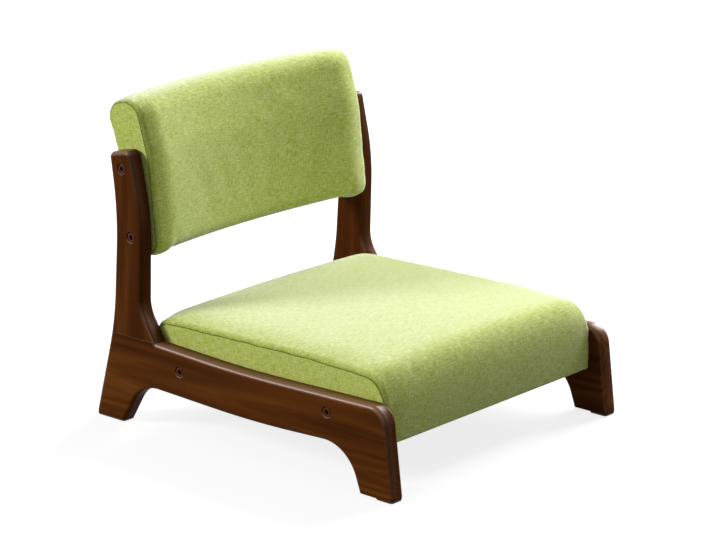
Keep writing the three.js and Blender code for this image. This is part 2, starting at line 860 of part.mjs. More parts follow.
// The curved panel, grown by a clearance where it cuts the foam
function backPanel(grown) {
  const end = battenFace + (grown > 0 ? overrun : 0);
  const stations = Array.from({ length: backPanelSteps + 1 }, (_, k) => k / backPanelSteps);
  const across = stations.map((share) => (2 * share - 1) * end);
  const front = backPanelRear - backPanelThickness - grown;
  const rear = backPanelRear + grown;
  const near = across.map((x) => new THREE.Vector2(x, front + sweepAt(x)));
  const far = across.map((x) => new THREE.Vector2(x, rear + sweepAt(x))).reverse();
  return raised([...near, ...far], backPanelBottom - grown, backPanelTop + grown);
}

// An end batten of the back: straight at the front, and against the panel at the rear
function backBatten(side, grown) {
  const inner = battenFace - backBattenWidth - grown;
  const outer = battenFace + (grown > 0 ? overrun : 0);
  const rear = backPanelRear - backPanelThickness - gap + grown;
  const points = [
    new THREE.Vector2(inner, -backBattenFront - grown),
    new THREE.Vector2(outer, -backBattenFront - grown),
    new THREE.Vector2(outer, rear + sweepAt(outer)),
    new THREE.Vector2(inner, rear + sweepAt(inner)),
  ];
  const placed = side < 0 ? points.map(({ x, y }) => new THREE.Vector2(-x, y)).reverse() : points;
  return raised(placed, backPanelBottom - grown, backPanelTop - backBattenTopInset + grown);
}

// Back: curved panel, end battens, foam and cover, on axes that lean with the bolts
function back() {
  const group = new THREE.Group();
  group.position.set(0, lowerBackBolt.depth, lowerBackBolt.height);
  group.rotation.x = -backLean;
  const boltsHere = [0, backBoltSpacing].map((height) => ({ depth: 0, height }));

  const screwAcross = battenFace - backBattenWidth / 2;
  const screwList = [];
  for (const [label, side] of Object.entries(sides)) {
    for (const [end, height] of Object.entries(panelScrewHeights)) {
      const rear = backPanelRear + sweepAt(screwAcross) - screwSink - screwHeadHeight / 2;
      screwList.push({
        name: `${label}_panel_screw_${end}`,
        direction: new THREE.Vector3(0, 1, 0),
        place: new THREE.Vector3(side * screwAcross, rear, height),
      });
    }
  }
  const panelScrews = screwSet(screwList, panelScrewLength);
  group.add(...panelScrews.meshes);

  for (const [label, side] of Object.entries(sides)) {
    const holes = boltsHere.map((place) => solidOf(atSide(insertHole(), side, place)));
    const batten = cutAll(solidOf(backBatten(side, 0)), [...holes, ...panelScrews.holes]);
    group.add(piece(`back_${label}_batten`, geometryOf(batten), beech));
  }
  const panel = cutAll(solidOf(backPanel(0)), panelScrews.holes);
  group.add(piece("back_panel", geometryOf(panel), plywood));

  const core = [backPanel(gap), backBatten(-1, gap), backBatten(1, gap)].map(solidOf);
  const backFoam = cutAll(paddedForm(backForm, foamInset), core);
  group.add(piece("back_foam", geometryOf(backFoam), foam));

  const slit = box(
    new THREE.Vector3(-cushionHalf + backSlitInset, sweepAt(0) - backSlit, backBottom - overrun),
    new THREE.Vector3(cushionHalf - backSlitInset, sweepAt(0), backBottom + foamInset),
  );
  const cover = paddedForm(backForm, 0).subtract(paddedForm(backForm, fabricThickness));
  const coverCuts = [solidOf(slit), ...fabricHoles(boltsHere)];
  group.add(piece("back_cover", geometryOf(cutAll(cover, coverCuts)), greenFabric));
  return group;
}

const chair = new THREE.Group();
chair.add(sideFrame("left"), sideFrame("right"), fasteners(), seat(), back());
chair.position.y = -originSetback;

export default chair;
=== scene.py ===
# %% [markdown]
# # A low floor chair with wooden side frames
#
# The chair has two side frames of dark stained wood. A padded seat and a padded back hang
# between them on eight socket-head bolts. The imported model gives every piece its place, so this
# lesson only gives the chair its looks: the wood and its grain, the cloth and its seams, the
# bolts, the stitches and the staples.
#
# The script works in metres. The chair stands on the floor at z = 0 and faces -Y. Left is -X,
# as seen by someone who faces the chair.

# %% Load the frame
import math

import bmesh
import bpy
import numpy as np
from mathutils import Matrix, Vector


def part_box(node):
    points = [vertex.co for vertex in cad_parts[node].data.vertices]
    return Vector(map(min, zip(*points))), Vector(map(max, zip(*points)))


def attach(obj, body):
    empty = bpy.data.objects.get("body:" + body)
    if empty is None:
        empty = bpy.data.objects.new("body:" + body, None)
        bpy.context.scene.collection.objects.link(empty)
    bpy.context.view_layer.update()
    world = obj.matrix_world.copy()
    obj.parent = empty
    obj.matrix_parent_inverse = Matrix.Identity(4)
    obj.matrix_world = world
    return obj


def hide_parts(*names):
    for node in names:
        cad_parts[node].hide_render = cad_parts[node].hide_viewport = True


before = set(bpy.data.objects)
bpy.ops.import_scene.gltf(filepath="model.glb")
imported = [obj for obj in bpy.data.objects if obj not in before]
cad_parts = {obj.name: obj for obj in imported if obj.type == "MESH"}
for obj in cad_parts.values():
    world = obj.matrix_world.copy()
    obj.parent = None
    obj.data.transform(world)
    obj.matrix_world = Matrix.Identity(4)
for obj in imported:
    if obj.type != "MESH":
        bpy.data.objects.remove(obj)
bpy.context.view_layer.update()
scene = bpy.context.scene
print("CAD nodes:", len(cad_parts))

# %% [markdown]
# ## The camera
#
# The photograph was taken from the chair's left front corner, a little above it, with a long
# lens from far away. A long lens keeps parallel edges nearly parallel. The place and the focal
# length were solved from the chair's own edges, whose real sizes are known.

# %% Place the camera
CAMERA_PLACE = Vector((-3.0941, -2.7288, 1.4341))
CAMERA_AIM = Vector((0.0329, 0.0184, 0.1968))
LENS_MM = 156.98
SENSOR_MM = 36

camera_data = bpy.data.cameras.new("camera")
camera_data.sensor_fit = "HORIZONTAL"
camera_data.sensor_width = SENSOR_MM
camera_data.lens = LENS_MM
camera = bpy.data.objects.new("camera", camera_data)
camera.location = CAMERA_PLACE
camera.rotation_euler = (CAMERA_AIM - CAMERA_PLACE).to_track_quat("-Z", "Y").to_euler()
scene.collection.objects.link(camera)
scene.camera = camera
print("Camera distance:", round((CAMERA_AIM - CAMERA_PLACE).length, 3))

# %% [markdown]
# ## Maths on surfaces
#
# A finish is a small program made of nodes. Drawing it by hand is slow to read, so two classes
# let it be written as sums. `Amount` wraps the output of a node, and its operators add Math
# nodes, also when the number comes first, as in `1 - mask`. `Finish` owns one material. Its
# `add` makes any node: first the settings, then what goes into the sockets. Colours go through
# Mix nodes, because a Math node would turn them grey.

# %% A number that varies over a surface
class Amount:
    def __init__(self, finish, socket):
        self.finish = finish
        self.socket = socket

    def _join(self, operation, first, second):
        node = self.finish.add("ShaderNodeMath", {"operation": operation}, {0: first, 1: second})
        return Amount(self.finish, node.outputs[0])

    def __add__(self, other):
        return self._join("ADD", self, other)

    __radd__ = __add__

    def __sub__(self, other):
        return self._join("SUBTRACT", self, other)

    def __rsub__(self, other):
        return self._join("SUBTRACT", other, self)

    def __mul__(self, other):
        return self._join("MULTIPLY", self, other)

    __rmul__ = __mul__

    def __pow__(self, other):
        return self._join("POWER", self, other)

    def wave(self):
        return self._join("SINE", self, 0.0)

    def size(self):
        return self._join("ABSOLUTE", self, 0.0)

    def between(self, low, high, start=0.0, end=1.0):
        """Runs smoothly from start to end while this goes from low to high."""
        node = self.finish.add(
            "ShaderNodeMapRange",
            {"interpolation_type": "SMOOTHSTEP", "clamp": True},
            {"Value": self, "From Min": low, "From Max": high, "To Min": start, "To Max": end},
        )
        return Amount(self.finish, node.outputs["Result"])


# %% A finish
class Finish:
    def __init__(self, name):
        self.material = bpy.data.materials.new(name)
        self.material.use_nodes = True
        self.tree = self.material.node_tree
        self.tree.nodes.clear()

    def add(self, kind, settings=None, sockets=None):
        node = self.tree.nodes.new(kind)
        for name, value in (settings or {}).items():
            setattr(node, name, value)
        for key, value in (sockets or {}).items():
            socket = node.inputs[key]
            source = getattr(value, "socket", value)
            if isinstance(source, bpy.types.NodeSocket):
                self.tree.links.new(source, socket)
            else:
                socket.default_value = source
        return node

    def place(self, scale=(1, 1, 1), turn=(0, 0, 0), of="Object"):
        """Coordinates on the piece, in metres, stretched for a pattern."""
        node = self.add("ShaderNodeTexCoord")
        mapping = self.add(
            "ShaderNodeMapping",
            {"vector_type": "POINT"},
            {"Vector": node.outputs[of], "Scale": scale, "Rotation": turn},
        )
        return mapping.outputs["Vector"]

    def noise(self, vector, scale, detail=3.0, roughness=0.5, distortion=0.0):
        sockets = {
            "Vector": vector,
            "Scale": scale,
            "Detail": detail,
            "Roughness": roughness,
            "Distortion": distortion,
        }
        node = self.add("ShaderNodeTexNoise", {"noise_dimensions": "3D"}, sockets)
        return Amount(self, node.outputs["Fac"])

    def painted(self, name):
        """A number stored on the mesh under this name."""
        node = self.add("ShaderNodeAttribute", {"attribute_name": name})
        return Amount(self, node.outputs["Fac"])

    def parts(self, vector):
        node = self.add("ShaderNodeSeparateXYZ", None, {0: vector})
        return [Amount(self, node.outputs[k]) for k in range(3)]

    def mix(self, share, first, second, blend="MIX"):
        """One colour turning into another as the share goes from 0 to 1."""
        settings = {"data_type": "RGBA", "blend_type": blend, "clamp_factor": True}
        node = self.add("ShaderNodeMix", settings, {0: share, 6: first, 7: second})
        return node.outputs[2]

    def bump(self, height, distance, under=None):
        sockets = {"Height": height, "Distance": distance}
        if under is not None:
            sockets["Normal"] = under
        return self.add("ShaderNodeBump", None, sockets).outputs["Normal"]

    def skin(self, **sockets):
        """The surface itself. Underlines in a name stand for spaces."""
        named = {name.replace("_", " "): value for name, value in sockets.items()}
        shader = self.add("ShaderNodeBsdfPrincipled", None, named)
        self.add("ShaderNodeOutputMaterial", None, {"Surface": shader.outputs[0]})
        return self.material


def colour(red, green, blue):
    return (red, green, blue, 1.0)


print("Maths on surfaces is ready")

# %% [markdown]
# ## Floor and light
#
# A plain studio: a white floor, a white surround and two soft lamps. The key lamp hangs close
# by on the chair's right, so the tops are brightest, and the curved back is lit more on its
# left half than on its right. The rear lamp stands far away at the left, behind the chair, and
# gives less light there. It lights the left sides, and draws the bright lines along the rounded
# edges of the rails. The fronts get little light. The floor is a dull grey to the lamps, so
# that it throws little light back up, and white to the camera and to reflections. Near the
# chair it glows a little less, and its shadow stays.

# %% Light the room
ROOM_LIGHT = 0.27
FLOOR_GREY = 0.24
FLOOR_GLOW = (0.82, 1.0)
GLOW_REACH = (0.5, 2.4)
FLOOR_HALF = 30.0
LAMPS = {
    "key_lamp": {"place": (2.11, 0.08, 1.48), "aim": (0, 0, 0.15), "width": 1.5, "watts": 135},
    "rear_lamp": {"place": (-5.6, 4.25, 3.7), "aim": (0, 0, 0.2), "width": 2.2, "watts": 500},
}

world = bpy.data.worlds.new("room")
scene.world = world
world.use_nodes = True
world.node_tree.nodes.clear()


def seen_directly(tree):
    """1 for what the camera sees itself, in a mirror or through glass, and 0 for other light."""
    path = tree.nodes.new("ShaderNodeLightPath")
    found = path.outputs["Is Camera Ray"]
    for name in ("Is Glossy Ray", "Is Transmission Ray"):
        larger = tree.nodes.new("ShaderNodeMath")
        larger.operation = "MAXIMUM"
        tree.links.new(found, larger.inputs[0])
        tree.links.new(path.outputs[name], larger.inputs[1])
        found = larger.outputs[0]
    return found


def scaled(tree, source, scale, offset):
    node = tree.nodes.new("ShaderNodeMath")
    node.operation = "MULTIPLY_ADD"
    tree.links.new(source, node.inputs[0])
    node.inputs[1].default_value = scale
    node.inputs[2].default_value = offset
    return node.outputs[0]


background = world.node_tree.nodes.new("ShaderNodeBackground")
background.inputs["Color"].default_value = colour(1, 1, 1)
strength = scaled(world.node_tree, seen_directly(world.node_tree), 1 - ROOM_LIGHT, ROOM_LIGHT)
world.node_tree.links.new(strength, background.inputs["Strength"])
room_out = world.node_tree.nodes.new("ShaderNodeOutputWorld")
world.node_tree.links.new(background.outputs[0], room_out.inputs["Surface"])


def lamp(name, place, aim, width, watts):
    data = bpy.data.lights.new(name, "AREA")
    data.shape = "SQUARE"
    data.size = width
    data.energy = watts
    light = bpy.data.objects.new(name, data)
    light.location = place
    light.rotation_euler = (Vector(aim) - Vector(place)).to_track_quat("-Z", "Y").to_euler()
    scene.collection.objects.link(light)


for name, setting in LAMPS.items():
    lamp(name, **setting)

# %% Lay the floor
floor_finish = Finish("floor_white")
east, north, _ = floor_finish.parts(floor_finish.place())
away = (east * east + north * north) ** 0.5
spread = away.between(*GLOW_REACH, *FLOOR_GLOW)
glow = Amount(floor_finish, seen_directly(floor_finish.tree)) * spread
dull = floor_finish.add("ShaderNodeBsdfDiffuse", None, {"Color": colour(*[FLOOR_GREY] * 3)})
shine = floor_finish.add("ShaderNodeEmission", None, {"Color": colour(1, 1, 1), "Strength": glow})
both = floor_finish.add("ShaderNodeAddShader", None, {0: dull.outputs[0], 1: shine.outputs[0]})
floor_finish.add("ShaderNodeOutputMaterial", None, {"Surface": both.outputs[0]})

floor_mesh = bpy.data.meshes.new("floor")
floor_corners = [(-1, -1, 0), (1, -1, 0), (1, 1, 0), (-1, 1, 0)]
floor_mesh.from_pydata([FLOOR_HALF * Vector(at) for at in floor_corners], [], [(0, 1, 2, 3)])
floor_mesh.materials.append(floor_finish.material)
floor = bpy.data.objects.new("floor", floor_mesh)
scene.collection.objects.link(floor)
print("Floor:", 2 * FLOOR_HALF, "metres wide")

# %% [markdown]
# ## Stained wood
#
# The frames are hardwood, stained a dark red brown under a satin lacquer. The grain is long and
# thin: a noise is stretched 18 times along the board, so its blots become streaks. Noises at
# different scales give the slow change of tone, the year lines and the fine pores. The lower
# frame is cut from one board with its grain from front to back, and the post has its grain
# upwards, which is why the glued joint shows. The mesh carries a number for painted highlights
# and wear. It is largest on the upper rounded edges, on the outer half of the tops and below each
# bolt hole. There the stain is painted paler and pinker, partly as a highlight and partly as wear,
# and the lacquer coat is thicker.

# %% The wood finish
WOOD_DARK = colour(0.034, 0.0088, 0.0018)
WOOD_MIDDLE = colour(0.078, 0.0222, 0.0036)
WOOD_LIGHT = colour(0.158, 0.052, 0.009)
# Paler pink brown: a painted highlight on the upper edges and tops, partly also wear.
WOOD_WEAR_AND_HIGHLIGHT = colour(0.4, 0.2, 0.11)
WARM_SHINE = colour(1.0, 0.55, 0.3)
GRAIN_STRETCH = 0.055
POST_LEAN = math.radians(5)


def grain_scale(along):
    return [GRAIN_STRETCH if axis == along else 1.0 for axis in range(3)]


def stained_wood(name, along, turn=(0, 0, 0), stain=(1, 1, 1)):
    """Wood with its grain along one axis: 1 is Y and 2 is Z. Stain darkens all of it."""
    wood = Finish(name)
    spot = wood.place(grain_scale(along), turn)
    drift = wood.noise(spot, 15, 2, 0.55, 0.5)
    lines = wood.noise(spot, 120, 5, 0.62, 1.1)
    rings = ((wood.noise(spot, 13, 1, 0.5, 0.2) * 95 + lines * 2.2).wave() + 1) * 0.5
    pores = wood.noise(spot, 1500, 2, 0.6).between(0.6, 0.78)
    tone_map = drift * 0.56 + lines * 0.3 + rings * 0.14
    base = wood.mix(tone_map.between(0.26, 0.52), WOOD_DARK, WOOD_MIDDLE)
    full = wood.mix(tone_map.between(0.48, 0.78), base, WOOD_LIGHT)
    pored = wood.mix(pores * 0.55, full, WOOD_DARK)
    edge = wood.painted("edge")
    # Painted highlight, partly wear: the base colour turns paler where the 'edge' number is high.
    worn_and_highlit = wood.mix(edge * (0.25 + lines * 0.5), pored, WOOD_WEAR_AND_HIGHLIGHT)
    stained = wood.mix(1.0, worn_and_highlit, colour(*stain), "MULTIPLY")
    relief = lines * 0.35 - pores * 0.65
    return wood.skin(
        Base_Color=stained,
        Roughness=0.36 + lines * 0.1 + pores * 0.15,
        Specular_IOR_Level=0.02,
        Specular_Tint=WARM_SHINE,
        Coat_Weight=edge * 0.95,
        Coat_Roughness=0.3,
        Coat_IOR=1.5,
        Normal=wood.bump(relief, 0.00012),
    )


rail_wood = stained_wood("walnut_rail", 1)
post_wood = stained_wood("walnut_post", 2, (POST_LEAN, 0, 0), (0.74, 0.7, 0.7))
print("Wood finishes:", rail_wood.name, post_wood.name)

# %% [markdown]
# ## Lime green cloth
#
# The cloth is a coarse mixed yarn weave, like linen. Each yarn is dyed unevenly, so the colour
# breaks into flecks about a millimetre wide and a centimetre long, some along the cloth and
# some across it. The pattern follows the cloth's own map, in metres, so that it turns with the
# panels. Sheen gives the pale bloom that loose fibres make. The seams are painted on the mesh
# as a number, and they are darker.

# %% The cloth finish
CLOTH_LIGHT = colour(0.66, 0.71, 0.35)
CLOTH_MIDDLE = colour(0.475, 0.545, 0.09)
CLOTH_DARK = colour(0.295, 0.36, 0.032)
SEAM_DARK = colour(0.06, 0.078, 0.008)
THREADS_PER_METRE = 1050


def woven_cloth(name):
    cloth = Finish(name)
    along = cloth.place((0.1, 1, 1), of="UV")
    across = cloth.place((1, 0.13, 1), of="UV")
    slubs = cloth.noise(along, 800, 2, 0.6) * 0.5 + cloth.noise(across, 800, 2, 0.6) * 0.5
    flecks = slubs.between(0.35, 0.65)
    patches = cloth.noise(cloth.place(of="Object"), 30, 2, 0.5)
    u, v, _ = cloth.parts(cloth.place(of="UV"))
    turn = math.pi * THREADS_PER_METRE
    weave = ((u * turn).wave() * (v * turn).wave()).size()
    tone = 0.08 + flecks * 0.53 + patches * 0.16 + weave * 0.16
    body = cloth.mix(tone.between(0.12, 0.52), CLOTH_DARK, CLOTH_MIDDLE)
    full = cloth.mix(tone.between(0.46, 0.95), body, CLOTH_LIGHT)
    seamed = cloth.mix(cloth.painted("seam"), full, SEAM_DARK)
    fine = cloth.bump(weave, 0.00012)
    rough = cloth.bump(slubs, 0.00035, fine)
    return cloth.skin(
        Base_Color=seamed,
        Roughness=0.75 + flecks * 0.12,
        Specular_IOR_Level=0.05,
        Sheen_Weight=1.0,
        Sheen_Roughness=0.4,
        Sheen_Tint=colour(0.78, 0.8, 0.9),
        Normal=rough,
    )


green_cloth = woven_cloth("lime_cloth")
print("Cloth finish:", green_cloth.name)

# %% [markdown]
# ## Small finishes
#
# The bolts are dark bronzed steel, and the screws, nails and staples plain steel, with fine
# turning marks. The feet stand on dark brown rubber. The seams are stitched with thread a
# little darker than the cloth. The seat's underside is closed with a thin black cloth, and the
# battens and panels inside are pale beech and plywood.

# %% Metal, rubber, thread and plain wood
def turned_metal(name, tint, roughness):
    metal = Finish(name)
    marks = metal.noise(metal.place((1, 0.2, 0.2)), 2600, 2)
    stain = metal.noise(metal.place(), 160, 3)
    darker = [0.72 * part for part in tint]
    base = metal.mix(stain.between(0.35, 0.75), colour(*tint), colour(*darker))
    return metal.skin(
        Base_Color=base,
        Metallic=1.0,
        Roughness=roughness + marks * 0.12 + stain * 0.08,
        Normal=metal.bump(marks, 0.00004),
    )


def grainy(name, first, second, scale, roughness):
    """A matt surface with a fine grain: rubber, thread or black cloth."""
    finish = Finish(name)
    speck = finish.noise(finish.place(), scale, 4, 0.6)
    base = finish.mix(speck.between(0.3, 0.7), colour(*first), colour(*second))
    return finish.skin(
        Base_Color=base, Roughness=roughness + speck * 0.1, Normal=finish.bump(speck, 0.0001)
    )


def pale_wood(name, first, second, along):
    wood = Finish(name)
    spot = wood.place(grain_scale(along))
    lines = wood.noise(spot, 160, 4, 0.6, 0.8)
    flecks = wood.noise(spot, 1100, 1).between(0.62, 0.75)
    base = wood.mix(lines.between(0.3, 0.7), colour(*first), colour(*second))
    marked = wood.mix(flecks * 0.5, base, colour(*[0.55 * part for part in first]))
    return wood.skin(
        Base_Color=marked, Roughness=0.55 + lines * 0.2, Normal=wood.bump(lines, 0.0001)
    )


bronzed_steel = turned_metal("bronzed_steel", (0.07, 0.024, 0.014), 0.24)
plain_steel = turned_metal("plain_steel", (0.42, 0.42, 0.41), 0.34)
rubber = grainy("foot_rubber", (0.02, 0.007, 0.003), (0.045, 0.015, 0.006), 900, 0.62)
thread = grainy("thread", (0.12, 0.155, 0.022), (0.22, 0.265, 0.05), 2500, 0.75)
black_cloth = grainy("black_cloth", (0.006, 0.006, 0.007), (0.022, 0.022, 0.024), 1500, 0.85)
beech = pale_wood("beech", (0.56, 0.36, 0.2), (0.68, 0.48, 0.29), 1)
plywood = pale_wood("plywood", (0.5, 0.34, 0.19), (0.62, 0.45, 0.27), 0)
print("Small finishes:", len(bpy.data.materials))

# %% [markdown]
# ## Outlines and meshes
#
# The side view of a frame and of each cushion is a closed outline: a few corners, each rounded
# with its own radius. These helpers turn corners into points, and points into meshes. An
# outline goes anticlockwise with the front on its left, in millimetres, as on a drawing.

# %% Round the corners of an outline
MM = 0.001
LONG_RADIUS = 60.0


def arc_at(before, here, after, radius, step_mm):
    """Points of the arc that rounds one corner."""
    back = (before - here).normalized()
    ahead = (after - here).normalized()
    turn = math.pi - math.acos(max(-1.0, min(1.0, back.dot(ahead))))
    centre = here + (back + ahead).normalized() * (radius / math.cos(turn / 2))
    start = here + back * (radius * math.tan(turn / 2)) - centre
    sense = 1 if back.x * ahead.y - back.y * ahead.x < 0 else -1
    count = max(3, math.ceil(turn * radius / step_mm))
    points = []
    for k in range(count + 1):
        spin = Matrix.Rotation(sense * turn * k / count, 2)
        points.append(centre + spin @ start)
    return points


def rounded(corners, arc_step=1.2, line_step=None):
    """All points of an outline of (across, up, radius) corners. Straight runs may be divided."""
    places = [Vector(corner[:2]) for corner in corners]
    points = []
    for k, (_, _, radius) in enumerate(corners):
        step = min(arc_step, 0.32 * radius) if radius < LONG_RADIUS else arc_step * 4
        points += arc_at(places[k - 1], places[k], places[(k + 1) % len(places)], radius, step)
    if line_step is None:
        return points
    filled = []
    for first, second in zip(points, points[1:] + points[:1]):
        parts = max(1, math.ceil((second - first).length / line_step))
        filled += [first.lerp(second, k / parts) for k in range(parts)]
    return filled


def outward(points):
    """The outward direction at each point of an anticlockwise outline."""
    found = []
    for k, _ in enumerate(points):
        along = (points[(k + 1) % len(points)] - points[k - 1]).normalized()
        found.append(Vector((along.y, -along.x)))
    return found


# %% Make an object
def new_object(name, points, faces, finishes, edges=()):
    mesh = bpy.data.meshes.new(name)
    mesh.from_pydata([tuple(point) for point in points], list(edges), faces)
    mesh.validate()
    for finish in finishes:
        mesh.materials.append(finish)
    made = bpy.data.objects.new(name, mesh)
    scene.collection.objects.link(made)
    return made


def plain_mesh(made):
    """Applies every modifier of an object to its mesh."""
    graph = bpy.context.evaluated_depsgraph_get()
    mesh = bpy.data.meshes.new_from_object(made.evaluated_get(graph))
    old = made.data
    made.modifiers.clear()
    made.data = mesh
    bpy.data.meshes.remove(old)
    mesh.name = made.name
    return made


def smooth(made, angle=None):
    made.data.polygons.foreach_set("use_smooth", [True] * len(made.data.polygons))
    if angle is not None:
        made.data.set_sharp_from_angle(angle=math.radians(angle))
    return made


def settle(made, slot, *replaced):
    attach(made, "root")
    if replaced:
        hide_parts(*replaced)
    print(made.name, "-", len(made.data.polygons), "faces")
    return made


# %% [markdown]
# ## The wooden frames
#
# Each side frame is one flat board shape with a 6 mm round along every edge. A board with
# rounded edges is a stack of outlines: the outline shrinks inwards as the edge turns from the
# side wall to the flat face. The two flat faces are closed with one many-sided face each. The
# bolt holes are stepped and chamfered, and a Boolean modifier cuts them with a turned shape.

# %% Sizes of a frame
HALF_WIDTH = 240.0
BOARD = 24.0
EDGE_ROUND = 6.0
EDGE_STEPS = 6
SETBACK = 8.0
JOINT_HEIGHT = 128.0
JOINT_GROOVE = 0.3
SOLE_HEIGHT = 3.5
BELOW = SOLE_HEIGHT - EDGE_ROUND

frame_corners = [
    (-272.5, BELOW, 9), (-215.8, BELOW, 7), (-192.0, 63.1, 58), (-24.3, 55.5, 1800),
    (182.9, 62.3, 51), (221.3, BELOW, 7), (274.3, BELOW, 9), (235.1, 145.5, 412),
    (224.6, 301.3, 487), (236.8, 382.9, 8), (197.8, 390.6, 8), (177.2, 298.5, 324),
    (181.2, 168.9, 49), (154.3, 127.7, 3), (0.0, 121.5, 2200), (-256.4, 127.7, 28),
]
BACK_LEAN = math.radians(9.2)
BACK_BOLT = Vector((197.5, 269.8))
BOLT_SPACING = 94.9
lean_up = Vector((math.sin(BACK_LEAN), math.cos(BACK_LEAN)))
bolt_places = {
    "seat_bolt_front": Vector((-158.1, 101.1)),
    "seat_bolt_rear": Vector((109.1, 97.1)),
    "back_bolt_lower": BACK_BOLT,
    "back_bolt_upper": BACK_BOLT + lean_up * BOLT_SPACING,
}
print("Frame corners:", len(frame_corners), "bolts on a side:", len(bolt_places))

# %% A closed tube across the chair
def closed_tube(name, rings, side, finish):
    """Joins rings of points, from the inside outwards, and closes each end with one face."""
    around = len(rings[0])
    last = around * (len(rings) - 1)
    faces = [tuple(range(around))[::-side], tuple(range(last, last + around))[::side]]
    for row in range(0, last, around):
        for k in range(around):
            a, b = row + k, row + (k + 1) % around
            faces.append((a, b, b + around, a + around)[::side])
    return new_object(name, [point for ring in rings for point in ring], faces, [finish])


def circle(radius, count):
    spins = [2 * math.pi * k / count for k in range(count)]
    return [(radius * math.cos(spin), radius * math.sin(spin)) for spin in spins]


def turned(name, rows, place, side, finish):
    """A shape about X, as on a lathe. Its rows are (how far out, points round the axis)."""
    rings = []
    for out, row in rows:
        at = [(place.x - SETBACK + along, place.y + up) for along, up in row]
        rings.append([(side * out * MM, y * MM, z * MM) for y, z in at])
    return closed_tube(name, rings, side, finish)


# %% A board with rounded edges
def board(name, side, finish):
    outline = rounded(frame_corners)
    normals = outward(outline)
    inner, outer = HALF_WIDTH - BOARD, HALF_WIDTH
    rows = []
    for k in range(EDGE_STEPS + 1):
        angle = math.pi / 2 * k / EDGE_STEPS
        sink = EDGE_ROUND * (1 - math.sin(angle))
        rows.append((inner + EDGE_ROUND * (1 - math.cos(angle)), sink))
    rows += [(inner + outer - across, sink) for across, sink in rows[::-1]]
    rings = []
    for across, sink in rows:
        sunk = [point - normal * sink for point, normal in zip(outline, normals)]
        rings.append([(side * across * MM, (at.x - SETBACK) * MM, at.y * MM) for at in sunk])
    return closed_tube(name, rings, side, finish)


# %% Cut the bolt holes
COUNTERBORE_SEAT = 231.0
HOLE_RADIUS = 4.4
COUNTERBORE_RADIUS = 7.3
CHAMFER = 1.0
OVERRUN = 2.0
HOLE_SIDES = 48


def cut_holes(made, side):
    steps = [
        (HALF_WIDTH - BOARD - OVERRUN, HOLE_RADIUS),
        (COUNTERBORE_SEAT, HOLE_RADIUS),
        (COUNTERBORE_SEAT, COUNTERBORE_RADIUS),
        (HALF_WIDTH - CHAMFER, COUNTERBORE_RADIUS),
        (HALF_WIDTH + OVERRUN, COUNTERBORE_RADIUS + CHAMFER + OVERRUN),
    ]
    rows = [(out, circle(radius, HOLE_SIDES)) for out, radius in steps]
    cutters = []
    for name, place in bolt_places.items():
        cutter = turned(name + "_cutter", rows, place, side, rail_wood)
        cut = made.modifiers.new("hole", "BOOLEAN")
        cut.operation = "DIFFERENCE"
        cut.solver = "EXACT"
        cut.object = cutter
        cutters.append(cutter)
    plain_mesh(made)
    for cutter in cutters:
        bpy.data.objects.remove(cutter)
    return made


# %% Cut a board flat
def cut_flat(mesh, height, keep_above):
    """Cuts a mesh at a height in millimetres, and closes it. Returns the new faces."""
    bmesh.ops.bisect_plane(
        mesh,
        geom=mesh.verts[:] + mesh.edges[:] + mesh.faces[:],
        plane_co=(0, 0, height * MM),
        plane_no=(0, 0, -1 if keep_above else 1),
        clear_outer=True,
    )
    rim = [edge for edge in mesh.edges if edge.is_boundary]
    return bmesh.ops.holes_fill(mesh, edges=rim, sides=0)["faces"]


def keep_part(made, upper):
    """Keeps what lies above or below the joint, which gets a small groove, and trims the feet."""
    groove = JOINT_GROOVE * MM
    mesh = bmesh.new()
    mesh.from_mesh(made.data)
    joint = cut_flat(mesh, JOINT_HEIGHT + (JOINT_GROOVE if upper else -JOINT_GROOVE), upper)
    bmesh.ops.inset_region(
        mesh, faces=joint, thickness=groove, depth=groove, use_even_offset=True
    )
    if not upper:
        cut_flat(mesh, SOLE_HEIGHT, True)
    bmesh.ops.recalc_face_normals(mesh, faces=mesh.faces[:])
    mesh.to_mesh(made.data)
    mesh.free()
    return made


# %% Where the edges get painted highlights and wear
# How much each place is painted paler as a highlight, and how thick its lacquer coat is: little on
# upright edges, much on upper edges, tops and the rim below each hole.
SIDE_SHINE = 0.02
TOP_SHINE = 0.75
RIM_SHINE = 0.08
RIM_LOW_SHINE = 0.7
SHINE_FADE = BOARD / 3.4
NEARLY = 0.1


def wear_and_highlight_at(place, near_face, rim, rises):
    """1 in the middle of a rounded top edge, less on other edges and holes, and 0 on the flats."""
    for bolt in bolt_places.values():
        off_chamfer = abs(math.hypot(*(place - np.array(bolt))) - COUNTERBORE_RADIUS - CHAMFER / 2)
        if off_chamfer < CHAMFER and near_face < CHAMFER + NEARLY:
            # The lower rim of each hole gets a painted highlight, and the rest of the rim little.
            return RIM_SHINE if place[1] > bolt.y - COUNTERBORE_RADIUS / 2 else RIM_LOW_SHINE
    away = np.sqrt(((rim - place) ** 2).sum(1))
    near_rim = away.min()
    if max(near_rim, near_face) > EDGE_ROUND + NEARLY:
        return 0.0
    # Painted highlight: edges that face upwards get more than upright ones.
    polish_and_highlight = SIDE_SHINE + (1 - SIDE_SHINE) * max(0.0, rises[away.argmin()])
    return polish_and_highlight * max(0.0, 1 - abs(near_rim - near_face) / EDGE_ROUND)


